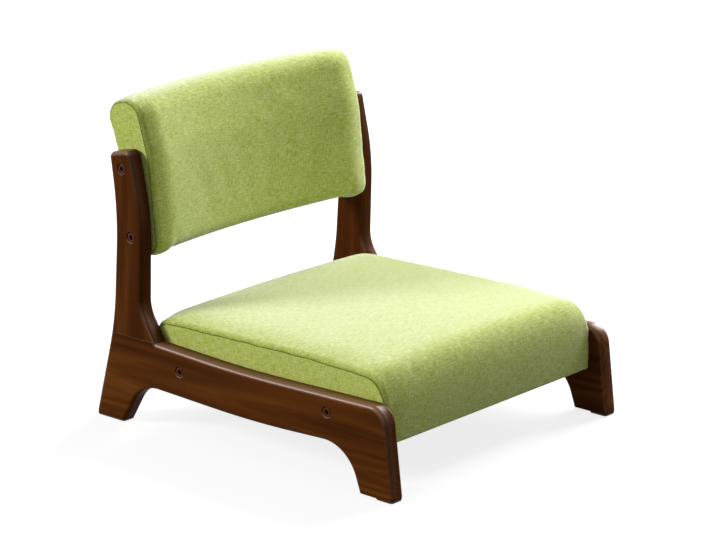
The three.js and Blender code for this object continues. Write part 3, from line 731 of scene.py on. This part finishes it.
def paint_wear_and_highlights(made):
    """Stores for each face corner how much its edge is painted paler, as a highlight and partly as
    wear: most on the upper edges and tops.
    """
    outline = rounded(frame_corners)
    rim = np.array([tuple(point) for point in outline])
    rises = [normal.y for normal in outward(outline)]
    across = HALF_WIDTH - BOARD / 2
    at_point, outside = [], []
    for vertex in made.data.vertices:
        place = np.array([vertex.co.y / MM + SETBACK, vertex.co.z / MM])
        off_middle = abs(vertex.co.x / MM) - across
        at_point.append(wear_and_highlight_at(place, BOARD / 2 - abs(off_middle), rim, rises))
        outside.append(min(1.0, max(0.0, off_middle / SHINE_FADE)))
    values = []
    for face in made.data.polygons:
        flat = len(face.vertices) > 4  # only flat faces have more than four corners
        # Painted highlight on the outer half of each upward face.
        top = TOP_SHINE * max(0.0, face.normal.z)
        for index in face.vertices:
            values.append(0.0 if flat else max(top * outside[index], at_point[index]))
    # The 'edge' number paints highlights, partly also wear, into the base colour, and it thickens
    # the coat.
    layer = made.data.attributes.new("edge", "FLOAT", "CORNER")
    layer.data.foreach_set("value", values)


# %% Both frames
SHARP_ANGLE = 32
SHADING_WEIGHT = 80


def finished_wood(made):
    smooth(made, SHARP_ANGLE)
    weighted = made.modifiers.new("even_shading", "WEIGHTED_NORMAL")
    weighted.keep_sharp = True
    weighted.weight = SHADING_WEIGHT
    plain_mesh(made)
    paint_wear_and_highlights(made)
    return made


SIDES = {"left": -1, "right": 1}
for label, side in SIDES.items():
    whole = cut_holes(board("whole_" + label, side, rail_wood), side)
    for part, upper, finish in (("lower_frame", False, rail_wood), ("back_post", True, post_wood)):
        half = whole.copy()
        half.data = whole.data.copy()
        half.name = half.data.name = label + "_" + part + "_wood"
        scene.collection.objects.link(half)
        keep_part(half, upper)
        half.data.materials.clear()
        half.data.materials.append(finish)
        settle(finished_wood(half), "walnut", label + "_" + part)
    bpy.data.objects.remove(whole)

# %% [markdown]
# ## The bolts
#
# A socket-head bolt is a turned body with a six-sided socket. The rim of the socket has six
# corners and the head is round, so both get the same number of points and are joined ring by
# ring. The side of the head is knurled for the fingers: a Geometry Nodes tree sets a small
# ridge at every step round a circle, with one edge of it pointing outwards.

# %% Body of a bolt
HEAD_SIDES = 48
HEAD_RADIUS = 6.5
HEAD_HEIGHT = 8.0
HEAD_CHAMFER = 0.7
HEAD_EASE = 0.3
SHANK_RADIUS = 4.0
SHANK_LENGTH = 35.0
SHANK_CHAMFER = 0.8
SOCKET_RADIUS = 3.46
SOCKET_DEPTH = 4.0
SOCKET_CHAMFER = 0.25
DRILL_TIP = 0.9


def hexagon(radius, count):
    """Points evenly spread by angle round a six-sided rim."""
    points = []
    for k in range(count):
        angle = 2 * math.pi * k / count
        within = (angle + math.pi / 6) % (math.pi / 3) - math.pi / 6
        reach = radius * math.cos(math.pi / 6) / math.cos(within)
        points.append((reach * math.cos(angle), reach * math.sin(angle)))
    return points


def bolt_body(name, place, side):
    top = COUNTERBORE_SEAT + HEAD_HEIGHT
    end = COUNTERBORE_SEAT - SHANK_LENGTH
    outside = [
        (end, SHANK_RADIUS - SHANK_CHAMFER),
        (end + SHANK_CHAMFER, SHANK_RADIUS),
        (COUNTERBORE_SEAT, SHANK_RADIUS),
        (COUNTERBORE_SEAT, HEAD_RADIUS - HEAD_EASE),
        (COUNTERBORE_SEAT + HEAD_EASE, HEAD_RADIUS),
        (top - HEAD_CHAMFER, HEAD_RADIUS),
        (top - HEAD_CHAMFER * 0.25, HEAD_RADIUS - HEAD_CHAMFER * 0.35),
        (top, HEAD_RADIUS - HEAD_CHAMFER),
    ]
    socket = [
        (top, SOCKET_RADIUS + SOCKET_CHAMFER),
        (top - SOCKET_CHAMFER, SOCKET_RADIUS),
        (top - SOCKET_DEPTH, SOCKET_RADIUS),
    ]
    rows = [(out, circle(radius, HEAD_SIDES)) for out, radius in outside]
    rows += [(out, hexagon(radius, HEAD_SIDES)) for out, radius in socket]
    rows.append((top - SOCKET_DEPTH - DRILL_TIP, circle(0.4, HEAD_SIDES)))
    return smooth(turned(name, rows, place, side, bronzed_steel), 30)


# %% A Geometry Nodes tree, written as steps
class Steps:
    """Builds one tree. Its sizes are named inputs, which are set on the modifier."""

    def __init__(self, name):
        self.tree = bpy.data.node_groups.new(name, "GeometryNodeTree")
        self.sockets = {}
        for way in ("INPUT", "OUTPUT"):
            kind = "NodeSocketGeometry"
            self.tree.interface.new_socket("Geometry", in_out=way, socket_type=kind)
        self.into = self.tree.nodes.new("NodeGroupInput")
        self.out = self.tree.nodes.new("NodeGroupOutput")

    def size(self, name, kind="NodeSocketFloat"):
        made = self.tree.interface.new_socket(name, in_out="INPUT", socket_type=kind)
        self.sockets[name] = made.identifier
        return self.into.outputs[name]

    def start(self):
        return self.into.outputs["Geometry"]

    def add(self, kind, settings=None, sockets=None, output=0):
        node = self.tree.nodes.new(kind)
        for name, value in (settings or {}).items():
            setattr(node, name, value)
        for key, value in (sockets or {}).items():
            if isinstance(value, bpy.types.NodeSocket):
                self.tree.links.new(value, node.inputs[key])
            else:
                node.inputs[key].default_value = value
        return node.outputs[output]

    def maths(self, operation, first, second):
        return self.add("ShaderNodeMath", {"operation": operation}, {0: first, 1: second})

    def vector(self, *parts):
        return self.add("ShaderNodeCombineXYZ", None, dict(enumerate(parts)))

    def box(self, *sides):
        return self.add("GeometryNodeMeshCube", None, {"Size": self.vector(*sides)})

    def along(self, twist=0.0):
        """The turn that lays a piece's X axis along a curve, and twists it about its Z axis."""
        tangent = self.add("GeometryNodeInputTangent")
        turn = self.add("FunctionNodeAlignRotationToVector", {"axis": "X"}, {"Vector": tangent})
        spin = self.add("FunctionNodeEulerToRotation", None, {0: self.vector(0.0, 0.0, twist)})
        local = {"rotation_space": "LOCAL"}
        return self.add("FunctionNodeRotateRotation", local, {0: turn, 1: spin})

    def evenly(self, curve, pitch):
        sockets = {"Curve": curve, "Length": pitch}
        return self.add("GeometryNodeResampleCurve", {"mode": "LENGTH"}, sockets)

    def scatter(self, spots, piece, turn, scale=(1.0, 1.0, 1.0)):
        sockets = {"Points": spots, "Instance": piece, "Rotation": turn, "Scale": scale}
        return self.add("GeometryNodeInstanceOnPoints", None, sockets)

    def end(self, geometry, finish):
        real = self.add("GeometryNodeRealizeInstances", None, {0: geometry})
        dressed = self.add("GeometryNodeSetMaterial", None, {0: real, "Material": finish})
        self.tree.links.new(dressed, self.out.inputs[0])
        return self

    def grow(self, made, **values):
        """Runs the tree on an object and leaves a plain mesh."""
        modifier = made.modifiers.new(self.tree.name, "NODES")
        modifier.node_group = self.tree
        for name, value in values.items():
            modifier[self.sockets[name.replace("_", " ")]] = value
        made.update_tag()
        bpy.context.view_layer.update()
        return plain_mesh(made)


# %% The knurl round a bolt head
def knurl_tree():
    steps = Steps("knurl")
    radius = steps.size("radius")
    length = steps.size("length")
    count = steps.size("count", "NodeSocketInt")
    sockets = {"Resolution": count, "Radius": radius}
    rim = steps.add("GeometryNodeCurvePrimitiveCircle", {"mode": "RADIUS"}, sockets)
    width = steps.maths("MULTIPLY", radius, 0.1)
    ridge = steps.box(width, width, length)
    return steps.end(steps.scatter(rim, ridge, steps.along(math.pi / 4)), bronzed_steel)


knurl = knurl_tree()
KNURL_COUNT = 40
KNURL_LENGTH = 6.2
KNURL_RADIUS = HEAD_RADIUS - 0.12


def knurled_bolt(name, place, side):
    body = bolt_body(name, place, side)
    ridges = new_object(name + "_knurl", [(0, 0, 0)], [], [bronzed_steel])
    knurl.grow(ridges, radius=KNURL_RADIUS * MM, length=KNURL_LENGTH * MM, count=KNURL_COUNT)
    middle = COUNTERBORE_SEAT + 0.5 + KNURL_LENGTH / 2
    spot = Vector((side * middle, place.x - SETBACK, place.y)) * MM
    ridges.data.transform(Matrix.Translation(spot) @ Matrix.Rotation(math.pi / 2, 4, "Y"))
    both_meshes = bmesh.new()
    both_meshes.from_mesh(body.data)
    both_meshes.from_mesh(ridges.data)
    both_meshes.to_mesh(body.data)
    both_meshes.free()
    bpy.data.objects.remove(ridges)
    return body


for label, side in SIDES.items():
    for name, place in bolt_places.items():
        bolt = knurled_bolt(label + "_" + name + "_head", place, side)
        settle(bolt, "bronzed_steel", label + "_" + name)

# %% [markdown]
# ## The shape of a cushion
#
# Each cushion has one long panel that goes round it, and a flat panel at each end. Its side
# outline is carried across the chair in stations. It stays flat at the two end seams, and
# swells towards the middle: quickly at first, where the foam rolls over its edge, and then
# slowly. The back is also curved in plan, so that its middle lies further back.

# %% Sizes of the cushions
CUSHION_HALF = 215.7

seat_shape = {
    "corners": [
        (-239.5, 66.0, 3), (178.0, 66.0, 3), (178.0, 151.5, 28), (-110.0, 158.0, 900),
        (-239.5, 154.0, 40),
    ],
    "roll": 45.0,
    "roundness": 0.6,
    "swell": {"edge": 10.0, "middle": 4.0, "front": 2.5, "rear": 3.0},
    "sweep": 0.0,
    "lean": 0.0,
    "origin": Vector((0.0, 0.0)),
}
back_shape = {
    "corners": [
        (-23.4, -27.3, 18), (28.0, -23.5, 9), (25.0, 104.0, 150), (39.1, 178.6, 22),
        (-17.1, 187.1, 26), (-29.8, 112.0, 150),
    ],
    "roll": 38.0,
    "roundness": 0.85,
    "swell": {"edge": 4.0, "middle": 3.0, "front": 13.0, "rear": 3.0},
    "sweep": 27.0,
    "lean": BACK_LEAN,
    "origin": BACK_BOLT,
}


def swelled(shape, x, point, normal):
    inward = min(1.0, (CUSHION_HALF - abs(x)) / shape["roll"])
    roll = max(0.0, 1 - (1 - inward) ** 2) ** shape["roundness"]
    dome = shape["swell"]["middle"] * (1 - (x / CUSHION_HALF) ** 2)
    top = max(0.0, normal.y) ** 2 * (shape["swell"]["edge"] * roll + dome)
    front = max(0.0, -normal.x) ** 2 * shape["swell"]["front"] * roll
    rear = max(0.0, normal.x) ** 2 * shape["swell"]["rear"] * roll
    return point + normal * (top + front + rear)


def placed(shape, x, point):
    """From a cushion's own drawing to the chair, in metres."""
    back = shape["sweep"] * (1 - (x / CUSHION_HALF) ** 2)
    n, w = point.x + back, point.y
    cos, sin = math.cos(shape["lean"]), math.sin(shape["lean"])
    y = shape["origin"].x + n * cos + w * sin
    z = shape["origin"].y - n * sin + w * cos
    return (x * MM, (y - SETBACK) * MM, z * MM)


def skin_rows(shape, outline, places):
    """A row of points round the cushion for each station: [station, point, xyz], in metres."""
    normals = outward(outline)
    rows = []
    for x in places:
        bulged = [swelled(shape, x, point, normal) for point, normal in zip(outline, normals)]
        rows.append([placed(shape, x, point) for point in bulged])
    return np.array(rows)


# %% The end panels of a cushion
END_RINGS = [0.015, 0.035, 0.06, 0.1, 0.16, 0.25, 0.4, 0.6, 0.8]
END_BLEND = 0.12


def end_panel(shape, outline, rim, x):
    """Rings of points from the rim of an end panel to its middle: [ring, point, xyz]."""
    middle = sum(outline, Vector((0, 0))) / len(outline)
    hub = np.array(placed(shape, x, middle))
    flat = np.array([placed(shape, x, point) for point in outline])
    rings = []
    for share in END_RINGS:
        fade = max(0.0, 1 - share / END_BLEND)
        rings.append(flat + (hub - flat) * share + (rim - flat) * fade)
    return rings, hub


def close_end(points, faces, maps, rim, outline, rings, hub):
    """Adds an end panel. Its rim is given as point numbers, and its map lies flat, in metres."""
    around = len(outline)
    turn = 1 if rim[0] == 0 else -1
    middle = sum(outline, Vector((0, 0))) / around
    flat = outline
    for share, ring in zip(END_RINGS, rings):
        fresh = range(len(points), len(points) + around)
        inner = [point.lerp(middle, share) for point in outline]
        points += [tuple(point) for point in ring]
        for k in range(around):
            n = (k + 1) % around
            spots = (flat[k], inner[k], inner[n], flat[n])
            faces.append((rim[k], fresh[k], fresh[n], rim[n])[::turn])
            maps.append([tuple(spot * MM) for spot in spots][::turn])
        rim, flat = fresh, inner
    points.append(tuple(hub))
    for k in range(around):
        n = (k + 1) % around
        faces.append((rim[k], len(points) - 1, rim[n])[::turn])
        maps.append([tuple(spot * MM) for spot in (flat[k], middle, flat[n])][::turn])


# %% The cushion as one closed mesh
def closed_mesh(name, shape, outline, places, rows):
    """Joins the rows to a tube, and closes its ends. Its map holds metres along the cloth."""
    around = len(outline)
    girth = [0.0]
    for first, second in zip(outline, outline[1:] + outline[:1]):
        girth.append(girth[-1] + (second - first).length)
    points = [tuple(point) for row in rows for point in row]
    faces, maps = [], []
    for row in range(len(places) - 1):
        for k in range(around):
            a, b = row * around + k, row * around + (k + 1) % around
            faces.append((a, b, b + around, a + around))
            low, high = places[row] * MM, places[row + 1] * MM
            near, far = girth[k] * MM, girth[k + 1] * MM
            maps.append(((low, near), (low, far), (high, far), (high, near)))
    for row, x in ((0, -CUSHION_HALF), (len(places) - 1, CUSHION_HALF)):
        rim = range(row * around, (row + 1) * around)
        close_end(points, faces, maps, rim, outline, *end_panel(shape, outline, rows[row], x))
    made = new_object(name, points, faces, [green_cloth])
    layer = made.data.uv_layers.new(name="cloth")
    layer.data.foreach_set("uv", [part for spots in maps for spot in spots for part in spot])
    return made


# %% [markdown]
# ## Cloth over foam
#
# A real cover is sewn a little too small and pulled over the foam, so the foam presses it
# outwards everywhere. Blender's Cloth does the same on a coarse grid of about 6 mm: it starts
# from the drawn shape, the pressure inside swells it, the seams are a little shorter than the
# panel beside them and gather it, and the end panels are held by the frames. What comes out is
# how far each point has moved. That is evened out across the chair, because a coarse grid
# makes creases that a stretched cover doesn't have, and a finer grid takes it over with a
# smooth curve between the coarse points.

# %% Let the cloth settle
SIM_STEP = 6.3
SIM_FRAMES = 20
SIM_SETTINGS = {
    "quality": 5,
    "mass": 0.25,
    "tension_stiffness": 25,
    "compression_stiffness": 25,
    "shear_stiffness": 8,
    "bending_stiffness": 3,
    "tension_damping": 12,
    "compression_damping": 12,
    "vertex_group_mass": "held",
    "pin_stiffness": 2,
    "vertex_group_shrink": "gathered",
    "shrink_min": 0.0,
    "shrink_max": 0.004,
    "use_pressure": True,
    "uniform_pressure_force": 1.5,
}


def settled_positions(made, held, gathered):
    """Runs Cloth on an object and returns where its points come to rest, in metres."""
    for group_name, weights in (("held", held), ("gathered", gathered)):
        group = made.vertex_groups.new(name=group_name)
        for index, weight in enumerate(weights):
            if weight > 0:
                group.add([index], float(weight), "REPLACE")
    cloth = made.modifiers.new("cover", "CLOTH")
    for name, value in SIM_SETTINGS.items():
        setattr(cloth.settings, name, value)
    cloth.settings.effector_weights.gravity = 0
    cloth.point_cache.frame_start = 1
    cloth.point_cache.frame_end = SIM_FRAMES
    for number in range(1, SIM_FRAMES + 1):
        scene.frame_set(number)
    graph = bpy.context.evaluated_depsgraph_get()
    mesh = made.evaluated_get(graph).to_mesh()
    found = np.empty(len(mesh.vertices) * 3)
    mesh.vertices.foreach_get("co", found)
    scene.frame_set(1)
    return found.reshape(-1, 3)


def smooth_between(values, at):
    """Catmull-Rom curve through evenly spaced values, read at places counted in steps."""
    last = len(values) - 1
    whole = np.clip(np.floor(at).astype(int), 0, last - 1)
    t = (at - whole).reshape((-1,) + (1,) * (values.ndim - 1))
    before, here = values[np.maximum(whole - 1, 0)], values[whole]
    after, later = values[whole + 1], values[np.minimum(whole + 2, last)]
    bend = 2 * before - 5 * here + 4 * after - later
    twist = 3 * (here - after) + later - before
    return here + 0.5 * t * (after - before + t * (bend + t * twist))


# %% How far the cloth moves
FOAM_HOLD = 0.1
SEAM_HOLD = 0.35
GATHERED_ROWS = (1.0, 0.6, 0.15)
CALM_ROUNDS = 5
MOST_SHIFT = 9.0


def cloth_shift(shape, outline, places, floor_mm):
    """The cloth's shift for each station and point. Below floor_mm the cover is held still."""
    coarse = outline[::2]
    around = len(coarse)
    count = math.ceil(2 * CUSHION_HALF / SIM_STEP)
    stops = np.linspace(-CUSHION_HALF, CUSHION_HALF, count + 1)
    start = skin_rows(shape, coarse, stops)
    trial = closed_mesh("trial_cover", shape, coarse, list(stops), start)
    size = len(trial.data.vertices)
    held, gathered = np.ones(size), np.zeros(size)
    tube = (count + 1) * around
    for row in range(count + 1):
        near = min(row, count - row)
        these = slice(row * around, (row + 1) * around)
        gathered[these] = GATHERED_ROWS[near] if near < len(GATHERED_ROWS) else 0.0
        held[these] = SEAM_HOLD if near == 0 else FOAM_HOLD
    low = np.array([placed(shape, 0, point)[2] / MM < floor_mm for point in coarse])
    held[:tube] = np.maximum(held[:tube], np.tile(low, count + 1))
    rest = settled_positions(trial, held, gathered)[:tube].reshape(count + 1, around, 3)
    bpy.data.objects.remove(trial)
    shift = rest - start
    far = np.linalg.norm(shift, axis=2, keepdims=True)
    print("Cloth moved at most", round(float(far.max()) / MM, 1), "mm")
    shift *= np.minimum(1, MOST_SHIFT * MM / np.maximum(far, 1e-9))
    for _ in range(CALM_ROUNDS):
        shift[2:-2] = 0.25 * shift[1:-3] + 0.5 * shift[2:-2] + 0.25 * shift[3:-1]
    spread = smooth_between(shift, (np.array(places) + CUSHION_HALF) / (2 * CUSHION_HALF) * count)
    looped = np.concatenate([spread[:, -1:], spread, spread[:, :2]], axis=1).swapaxes(0, 1)
    fine = smooth_between(looped, 1 + np.arange(len(outline)) / 2)
    return fine.swapaxes(0, 1)


# %% Seams, ripples and hanging corners
NEAR_SEAM = [0.0, 0.7, 1.5, 2.6, 4.2, 6.4, 9.2, 12.6, 16.5, 21.0, 25.0]
STATION_STEP = 4.0


def stations():
    """Places across a cushion, closer together near the end seams."""
    inside = CUSHION_HALF - NEAR_SEAM[-1]
    count = math.ceil(inside / STATION_STEP)
    half = [CUSHION_HALF - inset for inset in NEAR_SEAM]
    half += [inside * (1 - k / count) for k in range(1, count + 1)]
    return [-x for x in half[:-1]] + half[::-1]


def bell(distance, width):
    return np.exp(-((distance / width) ** 2))


SEAM_DEPTH = 1.5
SEAM_WIDTH = 1.7
PUFF_HEIGHT = 0.7
PUFF_PLACE = 6.0
PUFF_WIDTH = 4.0
RIPPLE_HEIGHT = 0.35
RIPPLE_LENGTH = 11.0
RIPPLE_REACH = 14.0
WANDER_HEIGHT = 0.7
WANDER_REACH = 7.0
CORNER_PLACE = 15.0
CORNER_REACH = 16.0
CORNER_HEIGHT = 34.0
TUCK_PLACE = 35.0
TUCK_WIDTH = 6.0


def detailed(shape, outline, places, rows, droop_mm, tuck_mm):
    """Adds what is finer than the coarse grid: grooved seams, ripples and hanging corners.

    Ripples are products of waves whose lengths don't fit each other, so they look random.
    """
    normals = np.array([tuple(normal) for normal in outward(outline)])
    above = np.array([point.y for point in outline])
    above -= above.min()
    girth = np.cumsum([0.0] + [(b - a).length for a, b in zip(outline, outline[1:])])
    inward = CUSHION_HALF - np.abs(np.array(places))[:, None]
    puff = PUFF_HEIGHT * bell(inward - PUFF_PLACE, PUFF_WIDTH)
    lift = puff - SEAM_DEPTH * bell(inward, SEAM_WIDTH)
    wander = 0.5 + 0.5 * np.sin(girth / 31.0 + 1.3) * np.sin(girth / 17.0)
    ripple = np.sin(2 * math.pi * girth / RIPPLE_LENGTH + 2.0 * np.sin(girth / 29.0)) * wander
    lift = lift + RIPPLE_HEIGHT * bell(inward, RIPPLE_REACH) * ripple
    stray = np.sin(girth / 10.5 + 2.2 * np.sin(girth / 37.0)) * np.sin(girth / 23.0 + 0.7)
    lift = lift + WANDER_HEIGHT * bell(inward, WANDER_REACH) * stray
    cos, sin = math.cos(shape["lean"]), math.sin(shape["lean"])
    low = np.clip(1 - above / CORNER_HEIGHT, 0, 1) ** 1.5
    lift = lift - tuck_mm * bell(inward - TUCK_PLACE, TUCK_WIDTH) * low ** 0.5
    moved = rows.copy()
    moved[:, :, 1] += lift * (normals[:, 0] * cos + normals[:, 1] * sin) * MM
    moved[:, :, 2] += lift * (normals[:, 1] * cos - normals[:, 0] * sin) * MM
    moved[:, :, 2] -= droop_mm * bell(inward - CORNER_PLACE, CORNER_REACH) * low * MM
    return moved


# %% Make the cushions
STITCH_ROW = 2


def cushion(name, shape, droop_mm, tuck_mm, floor_mm):
    """Makes one cushion, and gives the two lines along which its seams are stitched."""
    outline = rounded(shape["corners"], 1.8, 3.2)
    outline = outline[:len(outline) // 2 * 2]
    places = stations()
    rows = skin_rows(shape, outline, places)
    rows = rows + cloth_shift(shape, outline, places, floor_mm)
    rows = detailed(shape, outline, places, rows, droop_mm, tuck_mm)
    made = closed_mesh(name, shape, outline, places, rows)
    seam = made.data.attributes.new("seam", "FLOAT", "POINT")
    values = np.zeros(len(made.data.vertices))
    around, last = len(outline), len(places) - 1
    for row, share in ((0, 1.0), (1, 0.4), (last - 1, 0.4), (last, 1.0)):
        values[row * around:(row + 1) * around] = share
    seam.data.foreach_set("value", values)
    return smooth(made, 60), [rows[STITCH_ROW], rows[-1 - STITCH_ROW]]


seat_cushion, seat_seams = cushion(
    "seat_cushion", seat_shape, droop_mm=0.0, tuck_mm=0.0, floor_mm=70.0
)
back_cushion, back_seams = cushion(
    "back_cushion", back_shape, droop_mm=6.0, tuck_mm=1.8, floor_mm=0.0
)
for made, nodes in (
    (seat_cushion, ("seat_cover", "seat_foam")), (back_cushion, ("back_cover", "back_foam"))
):
    settle(made, "green_fabric", *nodes)

# %% [markdown]
# ## The stitches
#
# A row of stitches runs on the long panel, close beside each end seam. Every stitch is a short
# thread that bites into the cloth at both ends. A Geometry Nodes tree divides the seam's own
# line into equal steps, and lays one thread along it at each step.

# %% Stitch the seams
STITCH_PITCH = 5.0
STITCH_LENGTH = 3.1
STITCH_RADIUS = 0.4


def stitch_tree():
    steps = Steps("stitches")
    pitch, length, radius = steps.size("pitch"), steps.size("length"), steps.size("radius")
    line = steps.add("GeometryNodeMeshToCurve", None, {0: steps.start()})
    bead = steps.add("GeometryNodeMeshUVSphere", None, {"Segments": 6, "Rings": 4, "Radius": 0.5})
    thick = steps.maths("MULTIPLY", radius, 2.0)
    size = steps.vector(length, thick, thick)
    return steps.end(steps.scatter(steps.evenly(line, pitch), bead, steps.along(), size), thread)


stitches = stitch_tree()
for name, seams in (("seat_seam_stitches", seat_seams), ("back_seam_stitches", back_seams)):
    points, edges = [], []
    for seam in seams:
        first, around = len(points), len(seam)
        points += list(seam)
        edges += [(first + k, first + (k + 1) % around) for k in range(around)]
    stitched = new_object(name, points, [], [], edges)
    stitches.grow(
        stitched, pitch=STITCH_PITCH * MM, length=STITCH_LENGTH * MM, radius=STITCH_RADIUS * MM
    )
    settle(smooth(stitched), "green_fabric")

# %% [markdown]
# ## The dust cover and its staples
#
# A thin black cloth closes the seat from below. It is stretched over the battens and stapled
# all round, so it sags a little in the middle and puckers between the staples. The sheet is a
# grid of points, and a Solidify modifier gives it its thickness. The staples repeat along its
# edge, so a Geometry Nodes tree sets them: it divides a rectangle evenly, and lays the same
# small staple along the edge at each point, turned a little unevenly, as by hand.

# %% The dust cover
SHEET_THICK = 0.5
SAG = 2.2
PUCKER = 0.5
PUCKER_REACH = 9.0
STAPLE_PITCH = 30.0
STAPLE_INSET = 9.0
GRID_STEP = 4.0


def dust_cover(name, low, high):
    size = high - low
    count = [math.ceil(side / GRID_STEP) for side in size[:2]]
    u, v = np.meshgrid(np.linspace(0, 1, count[0] + 1), np.linspace(0, 1, count[1] + 1))
    x, y = low[0] + u * size[0], low[1] + v * size[1]
    off_side = np.minimum(u, 1 - u) * size[0]
    off_end = np.minimum(v, 1 - v) * size[1]
    along = np.where(off_side < off_end, y - low[1], x - low[0])
    puckers = np.sin(math.pi * along / STAPLE_PITCH) ** 2
    puckers = PUCKER * puckers * bell(np.minimum(off_side, off_end) - STAPLE_INSET, PUCKER_REACH)
    sag = SAG * (np.sin(math.pi * u) * np.sin(math.pi * v)).clip(0) ** 0.7
    z = high[2] - SHEET_THICK - sag - puckers
    points = np.stack([x, y, z], axis=2).reshape(-1, 3) * MM
    across = count[0] + 1
    faces = []
    for row in range(count[1]):
        for k in range(count[0]):
            a = row * across + k
            faces.append((a, a + across, a + across + 1, a + 1))
    made = new_object(name, points, faces, [black_cloth])
    wall = made.modifiers.new("thickness", "SOLIDIFY")
    wall.thickness = SHEET_THICK * MM
    wall.offset = -1
    return smooth(plain_mesh(made), 40)


dust_low, dust_high = (np.array(corner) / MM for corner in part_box("seat_dust_cover"))
dust_sheet = dust_cover("dust_cover_sheet", dust_low, dust_high)
settle(dust_sheet, "black_cloth", "seat_dust_cover")


# %% The staples
def staple_tree():
    steps = Steps("staples")
    width, length, pitch = steps.size("width"), steps.size("length"), steps.size("pitch")
    crown, leg, wire = steps.size("crown"), steps.size("leg"), steps.size("wire")
    unevenness = steps.size("unevenness")
    edge = steps.add(
        "GeometryNodeCurvePrimitiveQuadrilateral",
        {"mode": "RECTANGLE"},
        {"Width": width, "Height": length},
    )
    bars = [steps.box(crown, wire, wire)]
    rise = steps.maths("MULTIPLY", leg, 0.5)
    for share in (-0.46, 0.46):
        spot = steps.vector(steps.maths("MULTIPLY", crown, share), 0.0, rise)
        bar = {"Geometry": steps.box(wire, wire, leg), "Translation": spot}
        bars.append(steps.add("GeometryNodeTransform", None, bar))
    join = steps.tree.nodes.new("GeometryNodeJoinGeometry")
    for bar in bars:
        steps.tree.links.new(bar, join.inputs[0])
    chance = steps.add(
        "FunctionNodeRandomValue", {"data_type": "FLOAT"}, {2: -1.0, 3: 1.0, "Seed": 7}, output=1
    )
    turn = steps.along(steps.maths("MULTIPLY", chance, unevenness))
    staple = join.outputs[0]
    return steps.end(steps.scatter(steps.evenly(edge, pitch), staple, turn), plain_steel)


STAPLE_CROWN = 10.0
STAPLE_LEG = 6.0
STAPLE_WIRE = 0.7
STAPLE_TURN = 0.16
STAPLE_LOOSE = 0.15

staples = new_object("dust_cover_staples", [(0, 0, 0)], [], [plain_steel])
stapled = dust_high - dust_low - 2 * STAPLE_INSET
staple_tree().grow(
    staples, width=stapled[0] * MM, length=stapled[1] * MM, pitch=STAPLE_PITCH * MM,
    crown=STAPLE_CROWN * MM, leg=STAPLE_LEG * MM, wire=STAPLE_WIRE * MM, unevenness=STAPLE_TURN,
)
staple_middle = (dust_low + dust_high) / 2
staple_height = dust_high[2] - SHEET_THICK - STAPLE_WIRE / 2 - STAPLE_LOOSE
staple_spot = Vector((staple_middle[0], staple_middle[1], staple_height)) * MM
staples.data.transform(Matrix.Translation(staple_spot))
settle(staples, "steel")

# %% [markdown]
# ## Finishes for the pieces that stay
#
# The foot pads, nails, dowels, inserts, screws, battens and panels keep their exact shape from
# the model. Each gets the finish of its own material.

# %% Dress the other pieces
finish_of = {
    "dowel": beech, "foot_pad": rubber, "pad_nail": plain_steel, "insert": plain_steel,
    "screw": plain_steel, "batten": beech, "board": plywood, "panel": plywood,
}

for name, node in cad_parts.items():
    if node.hide_render:
        continue
    # The word that comes last in a name says what the piece is, as in "left_front_board_screw".
    kind = max(finish_of, key=name.rfind)
    for slot in node.material_slots:
        slot.material = finish_of[kind]
print("Pieces that stay:", sum(not node.hide_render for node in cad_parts.values()))

# %% Set the view transform
scene.view_settings.view_transform = "Standard"
